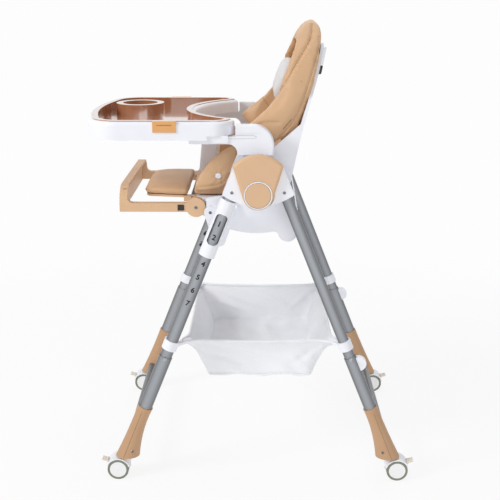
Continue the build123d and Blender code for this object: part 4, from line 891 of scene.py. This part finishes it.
class SeatPad(bpy.types.Operator):
    """Build the seat pad with its stitched wings and snap fasteners"""

    bl_idname = "highchair.seat_pad"
    bl_label = "Seat pad"

    def execute(self, context):
        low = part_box("seat_pad")[0]

        def held(points):
            return np.where(points[:, 2] < low[2] + 0.010, 1.0, 0.0)

        pad = soft_form("seat_cover", "seat_pad", shrink=0.002, rounding=3, cap=0.005, held=held)
        rumple(pad, size=0.05, height=0.001, seed=9.0)
        tree = surface_tree(pad)
        points = read_points(pad.data)
        pull = np.zeros(len(points))
        for _, sx in SIDES:
            hit = from_side(tree, sx, *WING_SNAP)[0]
            apart = points - np.array(hit)
            far = np.linalg.norm(apart, axis=1)
            near = (far < SNAP_REACH) & (points[:, 0] * sx > 0)
            turn = np.arctan2(apart[:, 2], apart[:, 1])
            rays = 0.0019 * np.cos(SNAP_RAYS * turn + 0.6) * np.exp(-far / 0.016)
            dimple = 0.003 * np.exp(-((far / 0.010) ** 2))
            pull = np.where(near, rays + dimple, pull)
        write_points(pad.data, points - pull[:, None] * read_normals(pad.data))
        hems = [side_seam(tree, sx, WING_HEM) for _, sx in SIDES]
        for hem in hems:
            crease(pad, hem, depth=0.0015, width=0.0028, pucker=0.0002)
        tree = surface_tree(pad)
        dress(pad, "seat_pad", "seat_carriage", "tan_pad", 0.75, "tan_pad")
        stitches("seat_stitches", "seat_carriage",
                 [side_seam(tree, sx, WING_HEM) for _, sx in SIDES])
        heads = [(from_side(tree, sx, *WING_SNAP)[0], Vector((sx, 0, 0))) for _, sx in SIDES]
        dome = settings().trim.snap
        fasteners("seat_snaps", "seat_carriage", heads, dome, 0.45 * dome, "white_plastic",
                  "white_plastic", 0.5)
        return {"FINISHED"}


class LegRestPad(bpy.types.Operator):
    """Build the leg rest's pad with its piped rim"""

    bl_idname = "highchair.leg_rest_pad"
    bl_label = "Leg rest pad"

    def execute(self, context):
        low, high = (Vector(c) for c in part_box("leg_rest_pad"))

        def held(points):
            return np.where(points[:, 2] < low.z + 0.005, 1.0, 0.0)

        pad = soft_form("leg_rest_cover", "leg_rest_pad", shrink=0.0015, rounding=2, cap=0.004, held=held)
        rumple(pad, size=0.05, height=0.0008, seed=5.0)
        middle = (low + high) / 2
        middle.z = low.z + 0.35 * (high.z - low.z)
        rim = rim_seam(surface_tree(pad), middle, Vector((1, 0, 0)), Vector((0, 1, 0)))
        dress(pad, "leg_rest_pad", "leg_rest", "tan_pad", 0.7, "tan_pad")
        piped("leg_rest_piping", "leg_rest", [rim], settings().pads.piping, "tan_pad")
        return {"FINISHED"}


CUSHION_LEAN = radians(16)
CUSHION_SLOPE = 0.29  # how far the cushion leans back for its height


class HeadCushion(bpy.types.Operator):
    """Build the loose pale head cushion"""

    bl_idname = "highchair.head_cushion"
    bl_label = "Head cushion"

    def execute(self, context):
        low, high = (np.array(c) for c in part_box("head_cushion"))

        def held(points):
            lean = (points[:, 1] - low[1]) - CUSHION_SLOPE * (points[:, 2] - low[2])
            return np.where(lean > 0.9 * lean.max(), 1.0, 0.0)

        pad = soft_form("head_cushion_cover", "head_cushion", shrink=0.003, rounding=3, cap=0.008, held=held)
        rumple(pad, size=0.05, height=0.0015, seed=7.0)
        middle = Vector((low + high) / 2)
        up = Vector((0, sin(CUSHION_LEAN), cos(CUSHION_LEAN)))
        rim = rim_seam(surface_tree(pad), middle, Vector((1, 0, 0)), up)
        crease(pad, rim, depth=0.002, width=0.004, pucker=0.0004, pitch=0.009)
        dress(pad, "head_cushion", "backrest", "grey_pad", 0.85, "grey_pad")
        return {"FINISHED"}


BASKET_RIM = (208, 167, 333)    # half width, half length and height
BASKET_FLOOR = (190, 126, 239)
BASKET_WALL = BASKET_RIM[2] - BASKET_FLOOR[2]
BASKET_MID = 5
BASKET_CORNER = 16
BASKET_BAND = 9                 # width of the cloth band round the net of each long side
BASKET_FOLDS = (  # (Y, Z) of both ends of each slanting fold in the long sides, and its height
    ((-150, 331), (40, 262), 5.0), ((-140, 300), (-20, 256), 4.4), ((-95, 330), (70, 285), 3.4),
    ((150, 328), (70, 258), 4.2), ((60, 300), (110, 258), -3.4),
)
BASKET_FOLD_WIDTH = 7
BASKET_EAR = (30, 15, 0.5)      # reach of the rim's corners, their width and depth as a share of the wall
BASKET_ROUND = 192              # points round the basket
BASKET_ROWS = 22                # rows of faces down the wall, and rings of faces across the floor
CORNER_STEPS = 8
CORNER_SAG = 0.29               # how far a rounded corner's middle lies inside the sharp one, in radii


def rounded_loop(half_x, half_y, corner):
    """Even points round a rectangle with rounded corners, in the plane."""
    line = []
    for k, (sx, sy) in enumerate(((1, -1), (1, 1), (-1, 1), (-1, -1))):
        for step in range(CORNER_STEPS + 1):
            turn = radians(-90 + 90 * k + 90 * step / CORNER_STEPS)
            line.append((sx * (half_x - corner) + corner * cos(turn),
                         sy * (half_y - corner) + corner * sin(turn)))
    line.append(line[0])
    runs = path_runs(line)
    steps = np.linspace(0, runs[-1], BASKET_ROUND, endpoint=False)
    return np.column_stack([np.interp(steps, runs, [p[i] for p in line]) for i in (0, 1)])


def basket_sheet(top, foot):
    """Points of the stretched basket in millimetres: rows down the wall, then rings to the floor's middle."""
    sheet = []
    for row in range(BASKET_ROWS + 1):
        t = row / BASKET_ROWS
        height = np.full(BASKET_ROUND, BASKET_RIM[2] - BASKET_WALL * t)
        sheet.append(np.column_stack([top * (1 - t) + foot * t, height]))
    for ring in range(1, BASKET_ROWS):
        height = np.full(BASKET_ROUND, BASKET_FLOOR[2])
        sheet.append(np.column_stack([foot * (1 - ring / BASKET_ROWS), height]))
    return np.concatenate([*sheet, [[0, 0, BASKET_FLOOR[2]]]])


def basket_sag(points):
    """The basket's points with sag, slack, folds and pulled corners."""
    span = np.abs(points[:, :2]) / np.array(BASKET_RIM[:2])
    depth = np.clip((BASKET_RIM[2] - points[:, 2]) / BASKET_WALL, 0, 1)
    side = span[:, 0] > span[:, 1]
    loose = np.where(side, 1 - span[:, 1] ** 2, 1 - span[:, 0] ** 2)
    creases = np.array([noise.noise(Vector((x / 55, y / 34 + z / 48, z / 60))) for x, y, z in points])
    folds = np.array([noise.noise(Vector((x / 16 + 4, (y + 0.9 * z) / 24, z / 70))) for x, y, z in points])
    inner = np.clip(1.25 - np.maximum(span[:, 0] / 0.92, span[:, 1] / 0.76), 0, 1)
    points[:, 2] -= 5 * loose * (1 - depth) + 7 * inner * (depth > 0.99) + 5 * creases * loose * depth
    push = 9 * loose * np.sin(pi * depth) + 5 * creases * depth + 2.6 * folds * np.sin(pi * np.sqrt(depth))
    for start, end, height in BASKET_FOLDS:
        along = np.array(end, float) - start
        place = points[:, 1:] - np.array(start)
        share = np.clip(place @ along / (along @ along), 0, 1)
        far = np.linalg.norm(place - share[:, None] * along, axis=1)
        swell = height * np.exp(-((far / BASKET_FOLD_WIDTH) ** 2))
        push += np.where(side, swell * np.sin(pi * np.clip(share, 0.05, 0.95)), 0)
    push *= depth < 0.999
    points[:, 0] -= np.where(side, np.sign(points[:, 0]) * push, 0)
    points[:, 1] -= np.where(side, 0, np.sign(points[:, 1]) * push)
    # The rim's corners reach out over the tabs of the collars
    reach, width, fade = BASKET_EAR
    corner = np.array(BASKET_RIM[:2]) - BASKET_CORNER * 0.3
    apart = np.hypot(*(np.abs(points[:, :2]) - corner).T)
    ear = reach * np.exp(-((apart / width) ** 2)) * np.clip(1 - depth / fade, 0, 1) ** 2
    points[:, 0] += 0.7 * ear * np.sign(points[:, 0])
    points[:, 1] += 0.71 * ear * np.sign(points[:, 1])
    return points


def basket_faces(last, middle):
    """Faces between the basket's rows, closed at the floor's middle point."""
    faces = []
    for row in range(last):
        here, below = row * BASKET_ROUND, (row + 1) * BASKET_ROUND
        for k in range(BASKET_ROUND):
            right = (k + 1) % BASKET_ROUND
            faces.append((here + k, below + k, below + right, here + right))
    start = last * BASKET_ROUND
    faces += [(start + k, middle, start + (k + 1) % BASKET_ROUND) for k in range(BASKET_ROUND)]
    return faces


def basket_bindings(points, top, foot):
    """Lines of the bound edges: the rim, the four corners and the floor's long edges."""
    hem = [points[k] for k in range(BASKET_ROUND)]
    lines = [[*hem, hem[0]]]
    corner = [BASKET_RIM[i] - CORNER_SAG * BASKET_CORNER for i in (0, 1)]
    for k, (x, y) in enumerate(top):
        if abs(abs(x) - corner[0]) + abs(abs(y) - corner[1]) < 3.2:
            lines.append([points[row * BASKET_ROUND + k] for row in range(BASKET_ROWS + 1)])
    lower = [k for k in range(BASKET_ROUND) if abs(foot[k][0]) > BASKET_FLOOR[0] - 6]
    for sx in (1, -1):
        lines.append([points[BASKET_ROWS * BASKET_ROUND + k] for k in lower if foot[k][0] * sx > 0])
    return lines


class Basket(bpy.types.Operator):
    """Build the sagging cloth basket with net sides, a hem and bindings"""

    bl_idname = "highchair.basket"
    bl_label = "Basket"

    def execute(self, context):
        top = rounded_loop(*BASKET_RIM[:2], BASKET_CORNER)
        foot = rounded_loop(*BASKET_FLOOR[:2], BASKET_CORNER)
        points = [at(x, y + BASKET_MID, z) for x, y, z in basket_sag(basket_sheet(top, foot))]
        bag = mesh_object("basket_bag", points, basket_faces(2 * BASKET_ROWS - 1, len(points) - 1))
        paint(bag, "basket_cloth", "basket_net")
        for index, face in enumerate(bag.data.polygons):
            row, k = divmod(index, BASKET_ROUND)
            half = BASKET_RIM[1] + (BASKET_FLOOR[1] - BASKET_RIM[1]) * row / BASKET_ROWS - BASKET_CORNER / 2
            inside = abs(face.center.y - at(0, BASKET_MID, 0).y) < (half - BASKET_BAND) * MM
            long_side = abs(top[k][0]) > BASKET_RIM[0] - 1
            face.material_index = int(1 < row < BASKET_ROWS - 1 and inside and long_side)
        tidy = bmesh.new()
        tidy.from_mesh(bag.data)
        bmesh.ops.recalc_face_normals(tidy, faces=tidy.faces)
        area = sum(face.calc_area() for face in tidy.faces)
        tidy.to_mesh(bag.data)
        tidy.free()
        thick = bag.modifiers.new("cloth", "SOLIDIFY")
        thick.thickness = 0.001
        thick.offset = 0
        settle(bag)
        smooth_faces(bag.data)
        lines = basket_bindings(points, top, foot)
        edge = [tube_along(f"binding_{k}", line, 0.0028 if k else 0.0036) for k, line in enumerate(lines)]
        for band in edge:
            paint(band, "binding")
        binding = join("basket_binding", edge)
        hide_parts("basket")
        for piece in (bag, binding):
            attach(piece, "front_frame")
        for piece in (bag, binding):
            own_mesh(piece)
        return {"FINISHED"}


DIGIT_BOLD = 0.0006
DIGIT_SIZE = 1.35       # type size for a digit of height 1
DIGIT_DEPTH = 0.00025
DIGIT_STEP = 0.0008     # width of the strips that bend a digit round the tube
DIGIT_CUTS = 8
NUMBERS = 7
NUMBER_TOP = 625        # height of the first number
NUMBER_PITCH = 30.64
NUMBER_RADIUS = 0.01412  # just over the front tube's face


def digit_mesh(text, size):
    """Mesh for a digit, and the bmesh of its flat form cut into upright strips."""
    curve = bpy.data.curves.new("digit", "FONT")
    curve.body = text
    curve.size = size
    curve.align_x = curve.align_y = "CENTER"
    curve.resolution_u = 6
    curve.offset = DIGIT_BOLD
    drawn = new_object("digit", curve)
    bpy.context.view_layer.update()
    mesh = shown_mesh(drawn)
    bpy.data.objects.remove(drawn)
    bpy.data.curves.remove(curve)
    fine = bmesh.new()
    fine.from_mesh(mesh)
    bmesh.ops.remove_doubles(fine, verts=fine.verts, dist=MERGE)
    for cut in range(-DIGIT_CUTS, DIGIT_CUTS + 1):
        bmesh.ops.bisect_plane(fine, geom=[*fine.verts, *fine.edges, *fine.faces],
                               plane_co=(cut * DIGIT_STEP, 0, 0), plane_no=(1, 0, 0))
    bmesh.ops.solidify(fine, geom=fine.faces, thickness=DIGIT_DEPTH)
    return mesh, fine


class LegNumbers(bpy.types.Operator):
    """Print the height numbers round the front legs"""

    bl_idname = "highchair.leg_numbers"
    bl_label = "Leg numbers"

    def execute(self, context):
        along = Vector((0, sin(LEAN), cos(LEAN)))
        across = Vector((0, cos(LEAN), -sin(LEAN)))
        out = Vector((1, 0, 0))
        prints = []
        for side, sx in SIDES:
            for step in range(NUMBERS):
                middle = leg_point(sx, -1, (NUMBER_TOP - NUMBER_PITCH * step) * MM)
                mesh, fine = digit_mesh(str(step + 1), settings().trim.digit * DIGIT_SIZE)
                for vert in fine.verts:
                    turn = vert.co.x / NUMBER_RADIUS
                    spread = NUMBER_RADIUS + vert.co.z
                    around = out * cos(turn) + across * sin(turn)
                    vert.co = middle + along * vert.co.y + around * spread
                bmesh.ops.recalc_face_normals(fine, faces=fine.faces)
                fine.to_mesh(mesh)
                fine.free()
                prints.append(paint(new_object(f"digit_{side}_{step}", mesh), "print"))
        made = join("leg_numbers", prints)
        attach(made, "front_frame")
        return {"FINISHED"}


def on_node(node, sx, y, z):
    """Where a sideways line first meets a CAD node's outer face, and its normal."""
    hit, way = from_side(surface_tree(FRAME["nodes"][node]), sx, y, z)
    if hit is None:
        raise RuntimeError(f"no face of {node} at {sx} {y} {z}")
    return hit, way


BOOT_SCREW_Z = 74
BOOT_SCREW_IN = 11  # from the leg's axis towards the chair's middle
CATCH_Z = 306


def leg_y(sy, z):
    """Y of a leg's axis from the hub's, at a height, both in millimetres."""
    return (leg_point(1, sy, z * MM).y - HUB_Y) / MM


class Fasteners(bpy.types.Operator):
    """Set the screws and the tube catches"""

    bl_idname = "highchair.fasteners"
    bl_label = "Fasteners"

    def execute(self, context):
        radius = settings().trim.screw
        heads = {"front_frame": [], "rear_frame": [], "seat_carriage": []}
        catches = {"front_frame": [], "rear_frame": []}
        for side, sx in SIDES:
            heads["front_frame"].append(on_node(f"hub_front_housing_{side}", sx, -57, 697))
            heads["rear_frame"].append(on_node(f"hub_rear_housing_{side}", sx, 57, 697))
            heads["seat_carriage"].append(on_node(f"height_slider_{side}", sx, -108, 637))
            heads["seat_carriage"].append(on_node("footrest_axle", sx, -141, 646))
            for end, sy in ENDS:
                screw = leg_y(sy, BOOT_SCREW_Z) - BOOT_SCREW_IN * sy
                heads[f"{end}_frame"].append(on_node(f"{end}_boots", sx, screw, BOOT_SCREW_Z))
                catch = leg_y(sy, CATCH_Z)
                catches[f"{end}_frame"].append(on_node(f"{end}_lower_tubes", sx, catch, CATCH_Z))
        for body, spots in heads.items():
            # The screws' sockets keep the default black: painted shade of their cross recesses
            fasteners(f"{body}_screws", body, spots, radius, 0.0014, "steel_dark")
        for body, spots in catches.items():
            fasteners(f"{body}_catches", body, spots, 0.005, 0.0034, "steel", "steel", 0.6)
        return {"FINISHED"}


CAD_FINISH = {  # the other slots have the names of their finishes
    "tube_grey": "tube_paint", "wheel_white": "wheel_disc", "tyre_grey": "tyre", "pedal_beige": "pedal",
    "white_mesh": "basket_cloth",
}
NODE_FINISH = {"front_boots": "boot_plastic", "rear_boots": "boot_plastic", "tray_clips": "clip_plastic"}


class FrameFinish(bpy.types.Operator):
    """Give every CAD node its procedural finish"""

    bl_idname = "highchair.frame_finish"
    bl_label = "Frame finish"

    def execute(self, context):
        for part in FRAME["record"]["subparts"]:
            slot = part["material_slot"]
            name = NODE_FINISH.get(part["node"], CAD_FINISH.get(slot, slot))
            for holder in FRAME["nodes"][part["node"]].material_slots:
                holder.material = finish(name)
        return {"FINISHED"}


CAMERA_PLACE = (2.21, 0.003, 1.124)
CAMERA_AHEAD = Vector((-0.9613, -0.0102, -0.2753))
CAMERA_LENS = 65.85
LAMPS = (
    ("key", (1.5, -2.5, 2.2), 1.0, 51),
    ("fill", (2.8, 0.7, 0.7), 2.0, 19),
    ("top", (-0.5, 0.3, 3.2), 2.2, 14),
    ("back", (-2.4, 0.9, 1.8), 2.0, 10),
)
AIM = Vector((0, 0, 0.6))
WORLD_TINT = (0.97, 0.98, 1.0, 1)
WORLD_STRENGTH = 0.48
FLOOR_GLOW = 0.86   # share of the floor's look that the lamps don't change
FLOOR_FADE = 0.55   # scale of the floor's fade into the backdrop, and where it is complete


def studio(scene, pale):
    """Soft light from all round, with a plain backdrop for the camera and for mirrors."""
    world = scene.world or bpy.data.worlds.new("studio")
    scene.world = world
    world.use_nodes = True
    tree = world.node_tree
    tree.nodes.clear()
    path = tree.nodes.new("ShaderNodeLightPath").outputs
    seen, shown = (tree.nodes.new("ShaderNodeMath") for _ in range(2))
    seen.operation = shown.operation = "MAXIMUM"
    soft, plain = (tree.nodes.new("ShaderNodeBackground") for _ in range(2))
    soft.inputs["Color"].default_value = WORLD_TINT
    soft.inputs["Strength"].default_value = WORLD_STRENGTH
    plain.inputs["Color"].default_value = (*pale, 1)
    mix = tree.nodes.new("ShaderNodeMixShader")
    out = tree.nodes.new("ShaderNodeOutputWorld")
    wire(
        tree,
        (path["Is Camera Ray"], seen.inputs[0]),
        (path["Is Transmission Ray"], seen.inputs[1]),
        (seen.outputs[0], shown.inputs[0]),
        (path["Is Glossy Ray"], shown.inputs[1]),
        (shown.outputs[0], mix.inputs["Fac"]),
        (soft.outputs[0], mix.inputs[1]),
        (plain.outputs[0], mix.inputs[2]),
        (mix.outputs[0], out.inputs["Surface"]),
    )


def floor_finish(pale):
    """Pale floor that fades into the backdrop away from the chair, so that no horizon shows."""
    made = Finish("floor", pale, 0.9)
    made.spread(made.noise(0.6, 2), 0.995, 1.0)
    glow = made.node("ShaderNodeEmission")
    glow.inputs["Color"].default_value = (*pale, 1)
    blend = made.node("ShaderNodeMixShader")
    blend.inputs["Fac"].default_value = FLOOR_GLOW
    ball = made.node("ShaderNodeTexGradient")
    ball.gradient_type = "SPHERICAL"
    spread = made.node("ShaderNodeMapping")
    spread.inputs["Scale"].default_value = (FLOOR_FADE, FLOOR_FADE, FLOOR_FADE)
    edge = made.node("ShaderNodeMapRange")
    edge.inputs["From Max"].default_value = FLOOR_FADE
    clear = made.node("ShaderNodeBsdfTransparent")
    fade = made.node("ShaderNodeMixShader")
    wire(
        made.tree,
        (made.surface.outputs[0], blend.inputs[1]),
        (glow.outputs[0], blend.inputs[2]),
        (made.place, spread.inputs["Vector"]),
        (spread.outputs[0], ball.inputs["Vector"]),
        (ball.outputs["Fac"], edge.inputs["Value"]),
        (edge.outputs["Result"], fade.inputs["Fac"]),
        (clear.outputs[0], fade.inputs[1]),
        (blend.outputs[0], fade.inputs[2]),
        (fade.outputs[0], made.tree.nodes["Material Output"].inputs["Surface"]),
    )
    return made.material


class Stage(bpy.types.Operator):
    """Lay the pale floor, the soft lights and the camera"""

    bl_idname = "highchair.stage"
    bl_label = "Stage"

    def execute(self, context):
        scene = context.scene
        scene.view_settings.view_transform = "Standard"
        pale = settings().finish.floor
        studio(scene, pale)
        floor = mesh_object("floor", [(-9, -9, 0), (9, -9, 0), (9, 9, 0), (-9, 9, 0)], [(0, 1, 2, 3)])
        floor.data.materials.append(floor_finish(pale))
        for name, place, size, power in LAMPS:
            lamp = bpy.data.lights.new(name, "AREA")
            lamp.size = size
            lamp.energy = power
            holder = bpy.data.objects.new(name, lamp)
            holder.location = place
            holder.rotation_euler = (AIM - Vector(place)).to_track_quat("-Z", "Y").to_euler()
            scene.collection.objects.link(holder)
        eye = bpy.data.cameras.new("camera")
        eye.lens = CAMERA_LENS
        eye.sensor_width = 36
        eye.clip_start, eye.clip_end = 0.05, 50
        viewer = bpy.data.objects.new("camera", eye)
        viewer.location = Vector(CAMERA_PLACE) + Vector((0, HUB_Y, 0))
        viewer.rotation_euler = CAMERA_AHEAD.to_track_quat("-Z", "Y").to_euler()
        scene.collection.objects.link(viewer)
        scene.camera = viewer
        return {"FINISHED"}


BOOT_LINE = (50, 80, 110, 140, 172)  # heights at which the boots' part lines are drawn
BOOT_LINE_OUT = 4                    # from the leg's axis
BACK_NUBS = (821, 913)
BACK_CLIP = 866
ARM_SLOT = ((-86, 815), (-40, 815), (-8, 814), (-8, 809), (-40, 808), (-86, 808))
CLIP_SLIT = (0.0165, 0.66)  # half length of the clips' slit, and its height as a share of the clip


class MouldLines(bpy.types.Operator):
    """Draw the boots' part lines, and the arms' slots and the clips' slits as darker cords of painted shade
    """

    bl_idname = "highchair.mould_lines"
    bl_label = "Mould lines"

    def execute(self, context):
        for end, sy in ENDS:
            tree = surface_tree(FRAME["nodes"][f"{end}_boots"])
            lines = []
            for _, sx in SIDES:
                lines.append(side_seam(tree, sx, [(leg_y(sy, z) + BOOT_LINE_OUT * sy, z) for z in BOOT_LINE]))
            piped(f"{end}_boot_lines", f"{end}_frame", lines, 0.0004, "boot_line")
        # The arms' slots are drawn as grey cords: painted shade inside the slots
        slots = []
        for side, sx in SIDES:
            slots.append(side_seam(surface_tree(FRAME["nodes"][f"armrest_{side}"]), sx, ARM_SLOT))
        piped("arm_slots", "seat_carriage", slots, 0.0005, "shade_line")
        # The clips' slits are drawn as darker cords: painted shade of the moulded grooves
        low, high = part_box("tray_clips")
        middle = (low[1] + high[1]) / 2 - HUB_Y
        height = low[2] + CLIP_SLIT[1] * (high[2] - low[2])
        path = [((middle + way * CLIP_SLIT[0]) / MM, height / MM) for way in (-1, 0, 1)]
        tree = surface_tree(FRAME["nodes"]["tray_clips"])
        slits = [side_seam(tree, sx, path) for _, sx in SIDES]
        piped("clip_slits", "insert", slits, 0.0009, "clip_shade")
        tree = surface_tree(FRAME["nodes"]["back_shell"])
        *nubs, clip = (
            tree.ray_cast(at(0, FAR_OUT, z), Vector((0, -1, 0)))[:2] for z in (*BACK_NUBS, BACK_CLIP)
        )
        fasteners("back_nubs", "backrest", nubs, 0.006, 0.007, "white_plastic",
                  "white_plastic", 0.5)
        # The clip's socket in dark steel is painted shade of its hollow
        fasteners("back_clip", "backrest", [clip], 0.005, 0.009, "steel", "steel_dark", 0.8)
        return {"FINISHED"}


STEPS = (
    Stage, FrameFinish, BackPad, SeatPad, LegRestPad, HeadCushion, Basket, LegNumbers, Fasteners, MouldLines,
)


class HighChairPanel(bpy.types.Panel):
    """Lists the chair's steps and settings"""

    bl_idname = "VIEW3D_PT_high_chair"
    bl_label = "High Chair"
    bl_space_type = "VIEW_3D"
    bl_region_type = "UI"
    bl_category = "High Chair"

    def draw(self, context):
        for step in STEPS:
            self.layout.operator(step.bl_idname)
        chair = context.scene.high_chair
        for group in (chair.finish, chair.pads, chair.trim):
            box = self.layout.box()
            for name in group.__annotations__:
                box.prop(group, name)


CLASSES = (FinishSettings, PadSettings, TrimSettings, ChairSettings, *STEPS, HighChairPanel)


def register():
    """Registers the classes and the scene's settings."""
    for item in CLASSES:
        bpy.utils.register_class(item)
    bpy.types.Scene.high_chair = bpy.props.PointerProperty(type=ChairSettings)


def unregister():
    """Removes the classes and the scene's settings."""
    del bpy.types.Scene.high_chair
    for item in reversed(CLASSES):
        bpy.utils.unregister_class(item)


def main():
    """Builds the dressed chair."""
    register()
    for step in STEPS:
        group, name = step.bl_idname.split(".")
        getattr(getattr(bpy.ops, group), name)()


if __name__ == "__main__":
    main()
